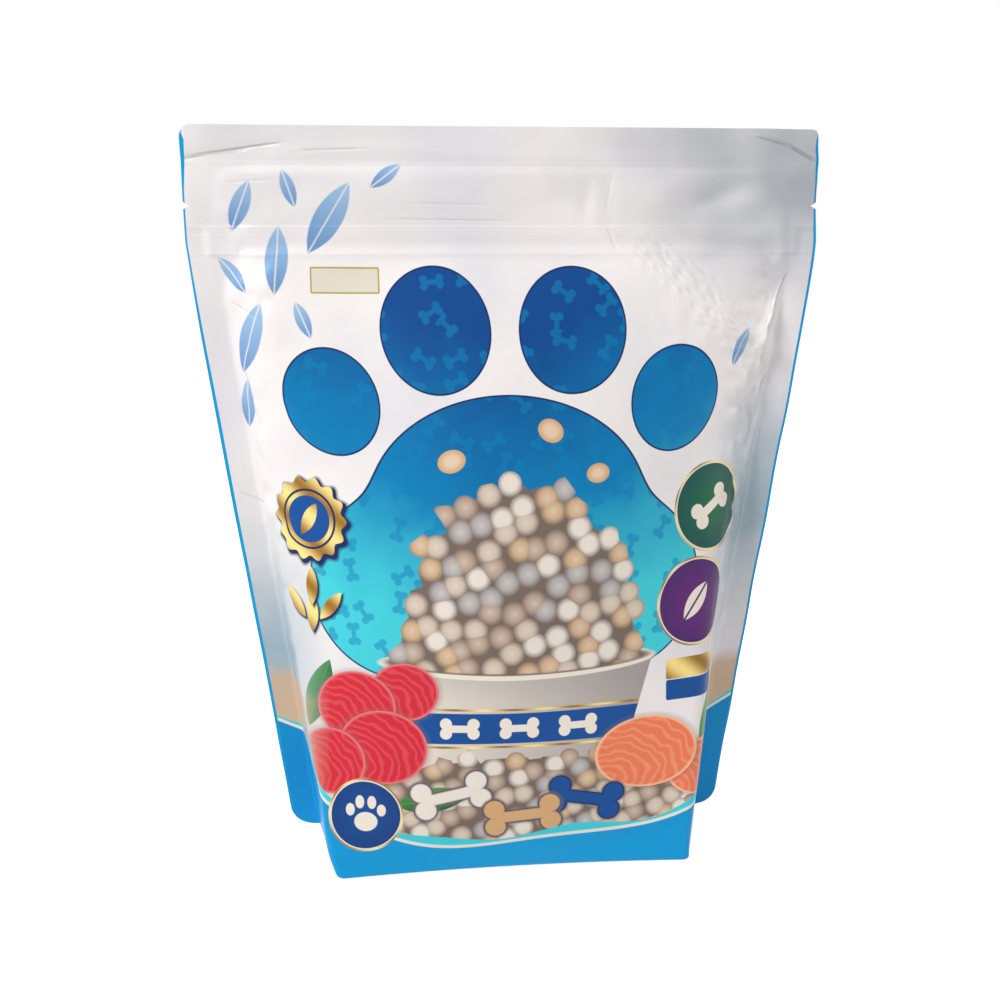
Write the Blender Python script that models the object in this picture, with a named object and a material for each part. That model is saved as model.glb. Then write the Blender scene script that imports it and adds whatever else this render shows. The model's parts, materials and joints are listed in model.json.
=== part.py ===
"""A filled stand-up pouch of dry pet food, sealed shut. Metres, +Z up, origin at the middle of its base on the floor.

The pouch is two sheets of film, front and back, heat-sealed to each other down both sides and across the top, with a
press-to-close zipper under the top seal and a third sheet folded in as the bottom gusset. Its filling spreads the gusset
into a flat base, pulls the side seams in and leaves them standing out as thin fins. It is sealed, so it is one solid.
Run it with: blender --background --python part.py
"""

import math

import bmesh
import bpy
import numpy as np

# Film and seals
FILM_WIDTH = 0.270  # front sheet laid flat, from seam edge to seam edge
BAG_HEIGHT = 0.322  # floor to the top edge
SEAL_THICKNESS = 0.0006  # the sheets pressed together
SIDE_SEAL = 0.009  # width of the side seams
TOP_SEAL = 0.015  # height of the top seal
FIN_SLACK = 0.0035  # flat film between a side seam and the filling

# Base
BASE_LENGTH = 0.159  # between the corners of the front fold
BASE_DEPTH = 0.083  # front fold to back fold
BASE_FOLD_RADIUS = 0.0018
FRONT_FOLD_BOW = 0.003  # how far the middle of the front fold stands back from its corners
BOW_HEIGHT = 0.026  # where that bow has faded out
EAR_LIFT = 0.0055  # floor to the lower edge of the side fins
EAR_LIFT_FADE = 0.050

# Filled body
BELLY_DEPTH = 0.092  # front to back where the pouch is fullest
BELLY_FULLNESS = 0.64  # where that is, from 0 at the zipper to 1 at the floor
BELLY_ROUNDNESS = 2.6
SEAM_PULL_IN = 0.0335  # how far each side seam is drawn in at the floor
SHOULDER_LENGTH = 0.208  # between the side creases at the zipper
CREASE_CURVE = 1.4
CREASE_LEAN = 0.005  # how far the filling sits to the left of the seams' middle
CREASE_ROUNDING_BASE = 0.0025
CREASE_ROUNDING_TOP = 0.022
ROOT_ROUNDING = 0.0025  # where the film leaves the flat fin

# Zipper and the flat pocket above it
ZIPPER_DROP = 0.047  # top edge to the middle of the zipper
ZIPPER_BAND = 0.013
ZIPPER_RISE = 0.0009
ZIPPER_RAMP = 0.0015
ZIPPER_GROOVE = 0.0008  # half width of the groove between its two tracks
POCKET_DEPTH = 0.0034  # front to back between the top seal and the zipper
FLAT_POCKET_SHARE = 0.8  # of its depth in the middle that the pocket keeps at its ends
SEAL_RAMP = 0.004  # height over which the pocket closes into the top seal

# Cuts in the flat seals
TEAR_NOTCH_DROP = 0.032  # top edge to the notch
TEAR_NOTCH_DEPTH = 0.0025
TEAR_NOTCH_HEIGHT = 0.003
TOP_LEFT_RADIUS = 0.005
TOP_RIGHT_RADIUS = 0.003
EAR_RADIUS = 0.010
ARC_STEPS = 6
CUT_MARGIN = 0.004  # how far a cutter reaches past the film

# The unfolded gusset under each end of the base
GUSSET_HEIGHT = 0.042  # floor to the peak of the fold beside a fin
GUSSET_REACH = 0.020  # from the front corner's station inwards to where the fold meets the floor
GUSSET_EDGE = 0.003  # film left between the fold and the side edge of the base

# Puckers where the full part of the pouch ends under the zipper
PUCKER_DEPTH = 0.0022
PUCKER_SPACING = 0.0125
PUCKER_DROP = 0.018  # zipper to the middle of the puckers
PUCKER_REACH = 0.017  # how far up and down they run
PUCKER_START = 0.060  # from the middle of the pouch, where they begin
SHOULDER_FOLD_DEPTH = 0.0030  # the hollow beside the crease at each shoulder
SHOULDER_FOLD_DROP = 0.024
SHOULDER_FOLD_LENGTH = 0.018
SHOULDER_FOLD_WIDTH = 0.006

# Facets
FRONT_STEPS = 13
CREASE_STEPS = 3
WALL_STEPS = 3
ROOT_STEPS = 2
FIN_STEPS = 2
BODY_STEPS = 24
DEPTH_TRIALS = 400

HALF_WIDTH = FILM_WIDTH / 2
HALF_SEAL = SEAL_THICKNESS / 2
ZIPPER_HEIGHT = BAG_HEIGHT - ZIPPER_DROP
SEAL_HEIGHT = BAG_HEIGHT - TOP_SEAL
FIN_WIDTH = SIDE_SEAL + FIN_SLACK

PEARL_FILM = (0.86, 0.85, 0.85, 1.0)
BLUE_FILM = (0.02, 0.33, 0.68, 1.0)
BLUE_BAND_HEIGHT = 0.030


def clear_scene():
    """Remove the objects of the startup scene."""
    for obj in list(bpy.data.objects):
        bpy.data.objects.remove(obj)


def new_collection(name, hidden=False):
    """Make a collection in the scene."""
    collection = bpy.data.collections.new(name)
    collection.hide_render = hidden
    bpy.context.scene.collection.children.link(collection)
    return collection


def smooth(share):
    """Ease a share from 0 to 1."""
    share = min(max(share, 0.0), 1.0)
    return share * share * (3 - 2 * share)


def bump(distance, reach):
    """1 at a distance of 0, easing to 0 at reach and beyond."""
    return np.clip(1 - (distance / reach) ** 2, 0, 1) ** 2


def fullness(height):
    """0 at and above the zipper, 1 at the floor."""
    return min(max(1 - height / ZIPPER_HEIGHT, 0.0), 1.0)


def seam_half_width(height):
    """Half the distance between the two seam edges."""
    full = fullness(height)
    return HALF_WIDTH - SEAM_PULL_IN * (0.8 * full + 0.2 * smooth(full))


def crease_distance(height, side):
    """From the middle of the pouch to the crease where its front turns into a side. side is -1 left, 1 right."""
    shoulder = SHOULDER_LENGTH / 2
    full = fullness(height)
    evenly = shoulder - (shoulder - BASE_LENGTH / 2) * full**CREASE_CURVE
    return evenly - side * CREASE_LEAN * math.sqrt(math.sin(math.pi * full))


def zipper_rise(height):
    """How far the zipper's two tracks lift the film."""
    off = abs(height - ZIPPER_HEIGHT)
    ramp = min(max((ZIPPER_BAND / 2 - off) / ZIPPER_RAMP, 0.0), 1.0)
    groove = 0.35 if off < ZIPPER_GROOVE else 1.0
    return ZIPPER_RISE * ramp * groove


def pocket_half_depth(height):
    """Half depth of the flat upper part, which closes into the top seal."""
    opened = smooth((SEAL_HEIGHT - height) / SEAL_RAMP)
    return HALF_SEAL + (POCKET_DEPTH / 2 - HALF_SEAL) * opened


def centre_half_depth(height):
    """Half depth of the pouch at its middle."""
    full = fullness(height)
    belly = BELLY_DEPTH / 2
    if full < BELLY_FULLNESS:
        filled = belly * (1 - (1 - full / BELLY_FULLNESS) ** BELLY_ROUNDNESS)
    else:
        past = (full - BELLY_FULLNESS) / (1 - BELLY_FULLNESS)
        filled = belly - (belly - BASE_DEPTH / 2) * past * past
    return math.hypot(filled, pocket_half_depth(height))


def crease_half_depth(height, side):
    """Half depth at a crease. The film is as wide at every height, so the side wall takes what the front leaves."""
    centre = centre_half_depth(height)
    crease = crease_distance(height, side)
    wall_run = seam_half_width(height) - FIN_WIDTH - crease
    depths = np.linspace(HALF_SEAL, centre, DEPTH_TRIALS)
    front = crease + (2 / 3) * (centre - depths) ** 2 / crease
    lengths = front + np.hypot(wall_run, depths) + FIN_WIDTH
    fits = depths[lengths <= HALF_WIDTH]
    return float(fits[-1]) if len(fits) else FLAT_POCKET_SHARE * centre


def bezier(start, corner, end, steps):
    """Points after start on a curve that rounds a corner."""
    shares = np.linspace(0, 1, steps + 1)[1:, None]
    return (1 - shares) ** 2 * start + 2 * shares * (1 - shares) * corner + shares**2 * end


def half_section(height, side):
    """Points (x, y) of the front film at one height, from the middle out to a seam edge. x and y are distances."""
    centre, crease_y = centre_half_depth(height), crease_half_depth(height, side)
    crease = np.array((crease_distance(height, side), crease_y))
    edge = np.array((seam_half_width(height), HALF_SEAL))
    root = edge - (FIN_WIDTH, 0)
    wall = root - crease
    wall_length = float(np.hypot(*wall))
    rounding = CREASE_ROUNDING_TOP + (CREASE_ROUNDING_BASE - CREASE_ROUNDING_TOP) * fullness(height) ** 0.5
    rounding = min(rounding, 0.45 * wall_length)
    root_rounding = min(ROOT_ROUNDING, 0.45 * wall_length, 0.45 * FIN_SLACK)

    shares = np.linspace(0, 1 - rounding / crease[0], FRONT_STEPS + 1)
    front = np.stack((crease[0] * shares, crease_y + (centre - crease_y) * (1 - shares**2)), axis=1)
    wall_start = crease + wall * rounding / wall_length
    wall_end = root - wall * root_rounding / wall_length
    root_end = root + (root_rounding, 0)
    wall_shares = np.linspace(0, 1, WALL_STEPS + 1)[1:, None]
    fin_shares = np.linspace(0, 1, FIN_STEPS + 1)[1:, None]
    return np.concatenate(
        (
            front,
            bezier(front[-1], crease, wall_start, CREASE_STEPS),
            wall_start + (wall_end - wall_start) * wall_shares,
            bezier(wall_end, root, root_end, ROOT_STEPS),
            root_end + (edge - root_end) * fin_shares,
        )
    )


def row_heights():
    """Heights of the rows of the mesh, from the floor to the top edge."""
    fold = [0.0, 0.15 * BASE_FOLD_RADIUS, 0.45 * BASE_FOLD_RADIUS, BASE_FOLD_RADIUS]
    fold += [BASE_FOLD_RADIUS + (BOW_HEIGHT - BASE_FOLD_RADIUS) * share for share in (0.2, 0.45, 0.75)]
    band_low = ZIPPER_HEIGHT - ZIPPER_BAND / 2
    band_high = ZIPPER_HEIGHT + ZIPPER_BAND / 2
    shares = np.linspace(0, 1, BODY_STEPS + 1)[1:-1] ** 0.8
    body = list(fold[-1] + (band_low - fold[-1]) * shares)
    groove = 1.05 * ZIPPER_GROOVE
    zipper = [
        band_low,
        band_low + ZIPPER_RAMP,
        ZIPPER_HEIGHT - groove,
        ZIPPER_HEIGHT,
        ZIPPER_HEIGHT + groove,
        band_high - ZIPPER_RAMP,
        band_high,
    ]
    seal_foot = SEAL_HEIGHT - SEAL_RAMP
    pocket = [(band_high + seal_foot) / 2, seal_foot, (seal_foot + SEAL_HEIGHT) / 2, SEAL_HEIGHT]
    return fold + body + zipper + pocket + [(SEAL_HEIGHT + BAG_HEIGHT) / 2, BAG_HEIGHT]


def lift_shares():
    """For each point of a half section, how much of the fins' lift off the floor it takes."""
    level = np.zeros(FRONT_STEPS + 1 + CREASE_STEPS)
    rising = np.linspace(0, 1, WALL_STEPS + ROOT_STEPS + 1)[1:]
    return np.concatenate((level, rising, np.ones(FIN_STEPS)))


def pucker_hollow(x, height, side):
    """How far the film is drawn in by the puckers and the fold at a shoulder. x is a distance from the middle."""
    crease_x = crease_distance(height, side)
    below = ZIPPER_HEIGHT - PUCKER_DROP
    across = bump(x - (PUCKER_START + crease_x) / 2, (crease_x - PUCKER_START) / 2 + PUCKER_SPACING)
    slanted = x + 0.6 * (height - below)
    waves = 0.5 - 0.5 * np.cos(2 * math.pi * (slanted - PUCKER_START) / PUCKER_SPACING)
    puckers = PUCKER_DEPTH * across * bump(height - below, PUCKER_REACH) * waves
    along = height - (ZIPPER_HEIGHT - SHOULDER_FOLD_DROP)
    beside = x - crease_x - 0.25 * along
    fold = SHOULDER_FOLD_DEPTH * bump(along, SHOULDER_FOLD_LENGTH) * bump(beside, SHOULDER_FOLD_WIDTH)
    return puckers + fold


def front_half_row(height, side):
    """Points (x, y, z) of the front film along one row, from the middle out to a seam edge."""
    section = half_section(height, side)
    x, depth = section[:, 0], section[:, 1]
    crease_x = crease_distance(height, side)
    full_depth = centre_half_depth(height)
    inward = np.clip((depth - HALF_SEAL) / full_depth, 0, 1)
    above_fold = min(height / BASE_FOLD_RADIUS, 1.0)
    inset = BASE_FOLD_RADIUS * (1 - math.sqrt(1 - (1 - above_fold) ** 2))
    bow = FRONT_FOLD_BOW * max(1 - height / BOW_HEIGHT, 0.0) ** 2
    depth = depth - bow * np.clip(1 - (x / crease_x) ** 2, 0, 1)
    depth = depth - inset * inward - pucker_hollow(x, height, side) * inward
    x = x - inset * np.clip(x / crease_x, 0, 1)
    lift = EAR_LIFT * max(1 - height / EAR_LIFT_FADE, 0.0)
    rise = zipper_rise(height) * (x < seam_half_width(height) - 0.8 * SIDE_SEAL)
    return np.stack((side * x, -(depth + rise), height + lift * lift_shares()), axis=1)


def front_sheet_points():
    """The front film's points by row, each from the left seam edge to the right one."""
    rows = []
    for height in row_heights():
        left = front_half_row(height, -1)[:0:-1]
        rows.append(np.concatenate((left, front_half_row(height, 1))))
    return np.array(rows)


def make_pouch(collection):
    """Front and back sheets, joined round their edges and across the base."""
    points = front_sheet_points()
    rows, columns = points.shape[0] - 1, points.shape[1] - 1
    bm = bmesh.new()
    bmesh.ops.create_grid(bm, x_segments=columns, y_segments=rows, size=1)
    for vert in bm.verts:
        column = round((vert.co.x + 1) / 2 * columns)
        row = round((vert.co.y + 1) / 2 * rows)
        vert.co = points[row, column]
    copied = bmesh.ops.duplicate(bm, geom=bm.verts[:] + bm.edges[:] + bm.faces[:])["geom"]
    back = [item for item in copied if isinstance(item, bmesh.types.BMVert)]
    for vert in back:
        vert.co.y = -vert.co.y
    bmesh.ops.reverse_faces(bm, faces=[item for item in copied if isinstance(item, bmesh.types.BMFace)])
    rims = [edge for edge in bm.edges if edge.is_boundary]
    bmesh.ops.bridge_loops(bm, edges=rims)
    bmesh.ops.recalc_face_normals(bm, faces=bm.faces)
    mesh = bpy.data.meshes.new("pouch")
    bm.to_mesh(mesh)
    bm.free()
    mesh.shade_smooth()
    mesh.set_sharp_from_angle(angle=math.radians(40))
    pouch = bpy.data.objects.new("pouch", mesh)
    collection.objects.link(pouch)
    return pouch


def make_prism(name, outline, collection):
    """A cutter: an outline (x, z) run through both films, front to back."""
    bm = bmesh.new()
    face = bm.faces.new([bm.verts.new((x, -CUT_MARGIN, z)) for x, z in outline])
    grown = bmesh.ops.extrude_face_region(bm, geom=[face])["geom"]
    for item in grown:
        if isinstance(item, bmesh.types.BMVert):
            item.co.y += 2 * CUT_MARGIN
    bmesh.ops.recalc_face_normals(bm, faces=bm.faces)
    return as_cutter(name, bm, collection)


def as_cutter(name, bm, collection):
    """Turn a bmesh into a hidden cutter object."""
    mesh = bpy.data.meshes.new(name)
    bm.to_mesh(mesh)
    bm.free()
    cutter = bpy.data.objects.new(name, mesh)
    cutter.hide_render = True
    cutter.display_type = "WIRE"
    collection.objects.link(cutter)
    return cutter


def corner_outline(side, edge, level, up, radius):
    """What is cut off to round a corner of the flat film. edge and level are where its straight edges end."""
    centre_x, centre_z = edge - radius, level - up * radius
    arc = []
    for step in range(ARC_STEPS + 1):
        angle = math.pi / 2 * step / ARC_STEPS
        arc.append((side * (centre_x + radius * math.cos(angle)), centre_z + up * radius * math.sin(angle)))
    out_x, out_z = edge + CUT_MARGIN, level + up * CUT_MARGIN
    outside = [(side * centre_x, out_z), (side * out_x, out_z), (side * out_x, centre_z)]
    return arc + outside


def notch_outline(side):
    """The small V that starts a tear."""
    height = BAG_HEIGHT - TEAR_NOTCH_DROP
    edge = seam_half_width(height)
    tip, mouth = edge - TEAR_NOTCH_DEPTH, edge + CUT_MARGIN
    spread = TEAR_NOTCH_HEIGHT / 2 * (mouth - tip) / TEAR_NOTCH_DEPTH
    return [(side * tip, height), (side * mouth, height + spread), (side * mouth, height - spread)]


def make_gusset_cutter(side, collection):
    """The air under one end of the base, between the two halves of the folded gusset."""
    corner_x = BASE_LENGTH / 2
    root_x = seam_half_width(0) - FIN_WIDTH
    end_x = root_x - GUSSET_EDGE
    corner_y = BASE_DEPTH / 2 - BASE_FOLD_RADIUS - GUSSET_EDGE
    end_y = corner_y * GUSSET_EDGE / (root_x - corner_x)
    floor = -CUT_MARGIN
    corners = [
        (corner_x - GUSSET_REACH, 0, floor),
        (corner_x - GUSSET_EDGE, corner_y, floor),
        (corner_x - GUSSET_EDGE, -corner_y, floor),
        (end_x, end_y, floor),
        (end_x, -end_y, floor),
        (end_x, 0, GUSSET_HEIGHT),
    ]
    bm = bmesh.new()
    for x, y, z in corners:
        bm.verts.new((side * x, y, z))
    bmesh.ops.convex_hull(bm, input=bm.verts)
    bmesh.ops.recalc_face_normals(bm, faces=bm.faces)
    name = "gusset_cutter_left" if side < 0 else "gusset_cutter_right"
    return as_cutter(name, bm, collection)


def cut(body, cutter):
    """Take a cutter's volume out of a body."""
    modifier = body.modifiers.new(cutter.name, "BOOLEAN")
    modifier.operation = "DIFFERENCE"
    modifier.object = cutter


def film_material(name, colour):
    """Satin printed film."""
    material = bpy.data.materials.new(name)
    material.use_nodes = True
    shader = material.node_tree.nodes["Principled BSDF"]
    shader.inputs["Base Color"].default_value = colour
    shader.inputs["Roughness"].default_value = 0.35
    shader.inputs["Metallic"].default_value = 0.0
    material.diffuse_color = colour
    return material


def paint(pouch):
    """Pearl white film with a blue band round the base."""
    pouch.data.materials.append(film_material("pearl_film", PEARL_FILM))
    pouch.data.materials.append(film_material("blue_film", BLUE_FILM))
    for polygon in pouch.data.polygons:
        polygon.material_index = int(polygon.center.z < BLUE_BAND_HEIGHT)


def main():
    clear_scene()
    parts = new_collection("pet_food_pouch")
    cutters = new_collection("cutters", hidden=True)
    pouch = make_pouch(parts)
    paint(pouch)
    ear_edge = seam_half_width(EAR_LIFT + EAR_RADIUS)
    for side, word, top_radius in ((-1, "left", TOP_LEFT_RADIUS), (1, "right", TOP_RIGHT_RADIUS)):
        cut(pouch, make_gusset_cutter(side, cutters))
        top = corner_outline(side, HALF_WIDTH, BAG_HEIGHT, 1, top_radius)
        cut(pouch, make_prism(f"top_corner_cutter_{word}", top, cutters))
        ear = corner_outline(side, ear_edge, EAR_LIFT, -1, EAR_RADIUS)
        cut(pouch, make_prism(f"ear_cutter_{word}", ear, cutters))
        cut(pouch, make_prism(f"tear_notch_cutter_{word}", notch_outline(side), cutters))


if __name__ == "__main__":
    main()
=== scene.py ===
"""The looks of a filled stand-up pouch of dry pet food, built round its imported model.

Lengths are in metres. Places on the film are in millimetres: u to the right of the film's middle line and v
up from the floor. The front sheet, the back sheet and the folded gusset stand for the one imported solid.
"""

import json
import logging
import math
from abc import ABC, abstractmethod
from dataclasses import dataclass, field
from enum import Enum

import bmesh
import bpy
import numpy as np
from mathutils import Matrix, Vector, noise

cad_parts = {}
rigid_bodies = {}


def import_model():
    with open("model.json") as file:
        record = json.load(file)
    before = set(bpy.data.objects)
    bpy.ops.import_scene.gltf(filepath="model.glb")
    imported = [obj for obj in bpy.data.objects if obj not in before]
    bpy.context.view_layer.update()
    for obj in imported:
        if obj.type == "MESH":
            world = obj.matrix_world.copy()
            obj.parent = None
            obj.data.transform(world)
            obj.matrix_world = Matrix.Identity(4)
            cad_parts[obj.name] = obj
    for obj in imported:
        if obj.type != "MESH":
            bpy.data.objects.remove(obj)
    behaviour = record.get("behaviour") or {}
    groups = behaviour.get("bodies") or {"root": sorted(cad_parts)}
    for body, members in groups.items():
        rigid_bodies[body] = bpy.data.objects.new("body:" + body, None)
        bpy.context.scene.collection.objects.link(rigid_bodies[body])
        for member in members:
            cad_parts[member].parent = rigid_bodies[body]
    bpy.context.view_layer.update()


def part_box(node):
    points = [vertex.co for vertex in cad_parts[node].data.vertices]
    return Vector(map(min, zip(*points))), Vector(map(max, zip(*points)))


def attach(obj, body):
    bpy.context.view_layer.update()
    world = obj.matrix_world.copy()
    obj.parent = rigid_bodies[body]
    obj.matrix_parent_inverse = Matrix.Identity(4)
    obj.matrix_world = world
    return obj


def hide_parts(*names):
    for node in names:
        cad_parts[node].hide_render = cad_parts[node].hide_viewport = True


LOG = logging.getLogger("pouch")
MM = 0.001
BACK_WAVE_SEED = 20.0
FILM_MAP = "film"
BAKE_MAP = "OFBake"
FILM_WIDTH = 270.0  # millimetres, as is the height
FILM_HEIGHT = 322.0
TINY = 1e-12
FAR = 1e6

Colour = tuple[float, float, float]
Spot = tuple[float, float]
Array = np.ndarray


class Face(Enum):
    """Which way a sheet of the pouch looks, along Y."""

    FRONT = -1
    BACK = 1


class Zone(Enum):
    """The height bands that the front's print is laid in, with each band's lowest and highest place."""

    BASE = (-1.0, 108.0)
    LOWER = (108.0, 186.0)
    UPPER = (186.0, 266.0)
    TOP = (266.0, 400.0)


class Icon(Enum):
    """The plain picture on a round badge."""

    LEAF = "leaf"
    BONE = "bone"
    PAW = "paw"


def linear(value: int) -> float:
    """One channel of a colour written in 0 to 255, as the renderer's linear value."""
    share = value / 255
    return share / 12.92 if share <= 0.04045 else ((share + 0.055) / 1.055) ** 2.4


def srgb(red: int, green: int, blue: int) -> Colour:
    """A colour written in 0 to 255, as the renderer's linear values."""
    return linear(red), linear(green), linear(blue)


def smooth(share: Array) -> Array:
    """Ease a share from 0 to 1."""
    share = np.clip(share, 0, 1)
    return share * share * (3 - 2 * share)


def bezier(start: Array, corner: Array, end: Array, steps: int) -> Array:
    """Points after start on a curve that rounds a corner."""
    shares = np.linspace(0, 1, steps + 1)[1:, None]
    return (1 - shares) ** 2 * start + 2 * shares * (1 - shares) * corner + shares**2 * end


# The form of the filled pouch


@dataclass
class PouchForm:
    """The filled pouch's outer form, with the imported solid's sizes.

    Every level section of a sheet is as long as the film is wide, so the side walls take what the front
    leaves.
    """

    half_width: float
    height: float
    seal_thickness: float = 0.0006
    side_seal: float = 0.009
    fin_slack: float = 0.0035
    top_seal: float = 0.015
    base_length: float = 0.159
    base_depth: float = 0.083
    base_fold_radius: float = 0.0018
    front_fold_bow: float = 0.003
    bow_height: float = 0.026
    ear_lift: float = 0.0055
    ear_lift_fade: float = 0.050
    ear_radius: float = 0.010
    belly_depth: float = 0.092
    belly_fullness: float = 0.64
    belly_roundness: float = 2.6
    seam_pull_in: float = 0.0335
    seam_evenness: float = 0.8
    shoulder_length: float = 0.208
    crease_curve: float = 1.4
    crease_lean: float = 0.005
    crease_rounding_base: float = 0.0025
    crease_rounding_top: float = 0.022
    root_rounding: float = 0.0025
    rounding_limit: float = 0.45
    zipper_drop: float = 0.047
    zipper_band: float = 0.013
    zipper_rise: float = 0.0008
    pocket_depth: float = 0.0034
    seal_ramp: float = 0.004
    notch_drop: float = 0.032
    notch_depth: float = 0.0025
    notch_height: float = 0.003
    top_left_radius: float = 0.005
    top_right_radius: float = 0.003
    front_steps: int = 60
    crease_steps: int = 9
    wall_steps: int = 10
    root_steps: int = 4
    fin_steps: int = 8
    row_spacing: float = 0.0015
    least_row_gap: float = 0.0004
    fold_rows: tuple[float, ...] = (0.15, 0.45)
    corner_rows: tuple[float, ...] = (0.35, 0.62, 0.8, 0.92, 0.98)
    ear_rows: tuple[float, ...] = (0.02, 0.08, 0.2)
    notch_rows: tuple[float, ...] = (-1, -0.5, 0, 0.5, 1)
    depth_trials: int = 300

    @property
    def half_seal(self) -> float:
        """Half the thickness of the pressed film."""
        return self.seal_thickness / 2

    @property
    def zipper_height(self) -> float:
        """Floor to the middle of the zipper."""
        return self.height - self.zipper_drop

    @property
    def seal_height(self) -> float:
        """Floor to the lower edge of the top seal."""
        return self.height - self.top_seal

    @property
    def notch_middle(self) -> float:
        """Floor to the middle of the tear notches."""
        return self.height - self.notch_drop

    @property
    def fin_width(self) -> float:
        """Seam edge to where the filling starts."""
        return self.side_seal + self.fin_slack

    def fullness(self, height: float) -> float:
        """0 at and above the zipper, 1 at the floor."""
        return min(max(1 - height / self.zipper_height, 0.0), 1.0)

    def seam_half_width(self, height: float) -> float:
        """Half the distance between the seam edges.

        Args:
            height: Metres above the floor.

        Returns:
            The distance in metres.
        """
        full = self.fullness(height)
        evenly = self.seam_evenness * full
        return self.half_width - self.seam_pull_in * (evenly + (1 - self.seam_evenness) * float(smooth(full)))

    def crease_distance(self, height: float, side: int) -> float:
        """From the middle to the crease where a sheet turns into a side wall.

        Args:
            height: Metres above the floor.
            side: -1 for the left crease and 1 for the right.

        Returns:
            The distance in metres.
        """
        shoulder = self.shoulder_length / 2
        full = self.fullness(height)
        evenly = shoulder - (shoulder - self.base_length / 2) * full**self.crease_curve
        return evenly - side * self.crease_lean * math.sqrt(math.sin(math.pi * full))

    def pocket_half_depth(self, height: float) -> float:
        """Half depth of the flat upper part, which closes into the top seal."""
        opened = float(smooth((self.seal_height - height) / self.seal_ramp))
        return self.half_seal + (self.pocket_depth / 2 - self.half_seal) * opened

    def centre_half_depth(self, height: float) -> float:
        """Half depth of the pouch at its middle.

        Args:
            height: Metres above the floor.

        Returns:
            Metres from the seams' plane to a sheet.
        """
        full = self.fullness(height)
        belly = self.belly_depth / 2
        if full < self.belly_fullness:
            filled = belly * (1 - (1 - full / self.belly_fullness) ** self.belly_roundness)
        else:
            past = (full - self.belly_fullness) / (1 - self.belly_fullness)
            filled = belly - (belly - self.base_depth / 2) * past * past
        return math.hypot(filled, self.pocket_half_depth(height))

    def crease_half_depth(self, height: float, side: int) -> float:
        """Half depth at a crease, from the film's length round the section.

        Args:
            height: Metres above the floor.
            side: -1 for the left crease and 1 for the right.

        Returns:
            The most depth that leaves the section no longer than the film.
        """
        centre = self.centre_half_depth(height)
        crease = self.crease_distance(height, side)
        wall_run = self.seam_half_width(height) - self.fin_width - crease
        depths = np.linspace(self.half_seal, centre, self.depth_trials)
        front = crease + (2 / 3) * (centre - depths) ** 2 / crease  # the length of a shallow parabola
        spare = self.half_width - front - np.hypot(wall_run, depths) - self.fin_width
        fits = np.nonzero(spare >= 0)[0]
        if len(fits) == 0 or fits[-1] == len(depths) - 1:
            return centre
        last = fits[-1]
        share = spare[last] / (spare[last] - spare[last + 1])
        return float(depths[last] + share * (depths[last + 1] - depths[last]))

    def corner_trim(self, height: float, side: int) -> float:
        """How far the outline's rounded corners and tear notches cut in from a straight seam edge.

        Args:
            height: Metres above the floor.
            side: -1 for the left edge and 1 for the right.

        Returns:
            The deepest of the cuts, in metres.
        """
        top_radius = self.top_left_radius if side < 0 else self.top_right_radius
        into_top = max(height - self.height + top_radius, 0.0)
        into_ear = max(self.ear_radius - height, 0.0)
        from_notch = abs(height - self.notch_middle) / (self.notch_height / 2)
        top = top_radius - math.sqrt(max(top_radius**2 - into_top**2, 0.0))
        ear = self.ear_radius - math.sqrt(self.ear_radius**2 - into_ear**2)
        return max(top, ear, self.notch_depth * max(1 - from_notch, 0.0))

    def half_section(self, height: float, side: int, trim: float) -> Array:
        """Points (x, y) of a sheet at one height, from the middle out to a seam edge.

        Args:
            height: Metres above the floor.
            side: -1 for the left half and 1 for the right.
            trim: How much of the seam is cut off.

        Returns:
            Distances from the pouch's middle planes, a row for each point.
        """
        centre, crease_y = self.centre_half_depth(height), self.crease_half_depth(height, side)
        crease = np.array((self.crease_distance(height, side), crease_y))
        edge = np.array((self.seam_half_width(height), self.half_seal))
        root = edge - (self.fin_width, 0)
        wall = root - crease
        wall_length = float(np.hypot(*wall))
        span = self.crease_rounding_base - self.crease_rounding_top
        widest = self.rounding_limit * wall_length
        rounding = min(self.crease_rounding_top + span * self.fullness(height) ** 0.5, widest)
        root_rounding = min(self.root_rounding, widest, self.rounding_limit * self.fin_slack)
        shares = np.linspace(0, 1 - rounding / crease[0], self.front_steps + 1)
        front = np.stack((crease[0] * shares, crease_y + (centre - crease_y) * (1 - shares**2)), axis=1)
        wall_start = crease + wall * rounding / wall_length
        wall_end = root - wall * root_rounding / wall_length
        root_end = root + (root_rounding, 0)
        wall_shares = np.linspace(0, 1, self.wall_steps + 1)[1:, None]
        fin_shares = np.linspace(0, 1, self.fin_steps + 1)[1:, None]
        return np.concatenate(
            (
                front,
                bezier(front[-1], crease, wall_start, self.crease_steps),
                wall_start + (wall_end - wall_start) * wall_shares,
                bezier(wall_end, root, root_end, self.root_steps),
                root_end + (edge - (trim, 0) - root_end) * fin_shares,
            )
        )

    def lift_shares(self) -> Array:
        """How the fins' lift off the floor is shared out.

        Returns:
            For each point of a half section, how much of the lift it takes.
        """
        level = np.zeros(self.front_steps + 1 + self.crease_steps)
        rising = np.linspace(0, 1, self.wall_steps + self.root_steps + 1)[1:]
        return np.concatenate((level, rising, np.ones(self.fin_steps)))

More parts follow.
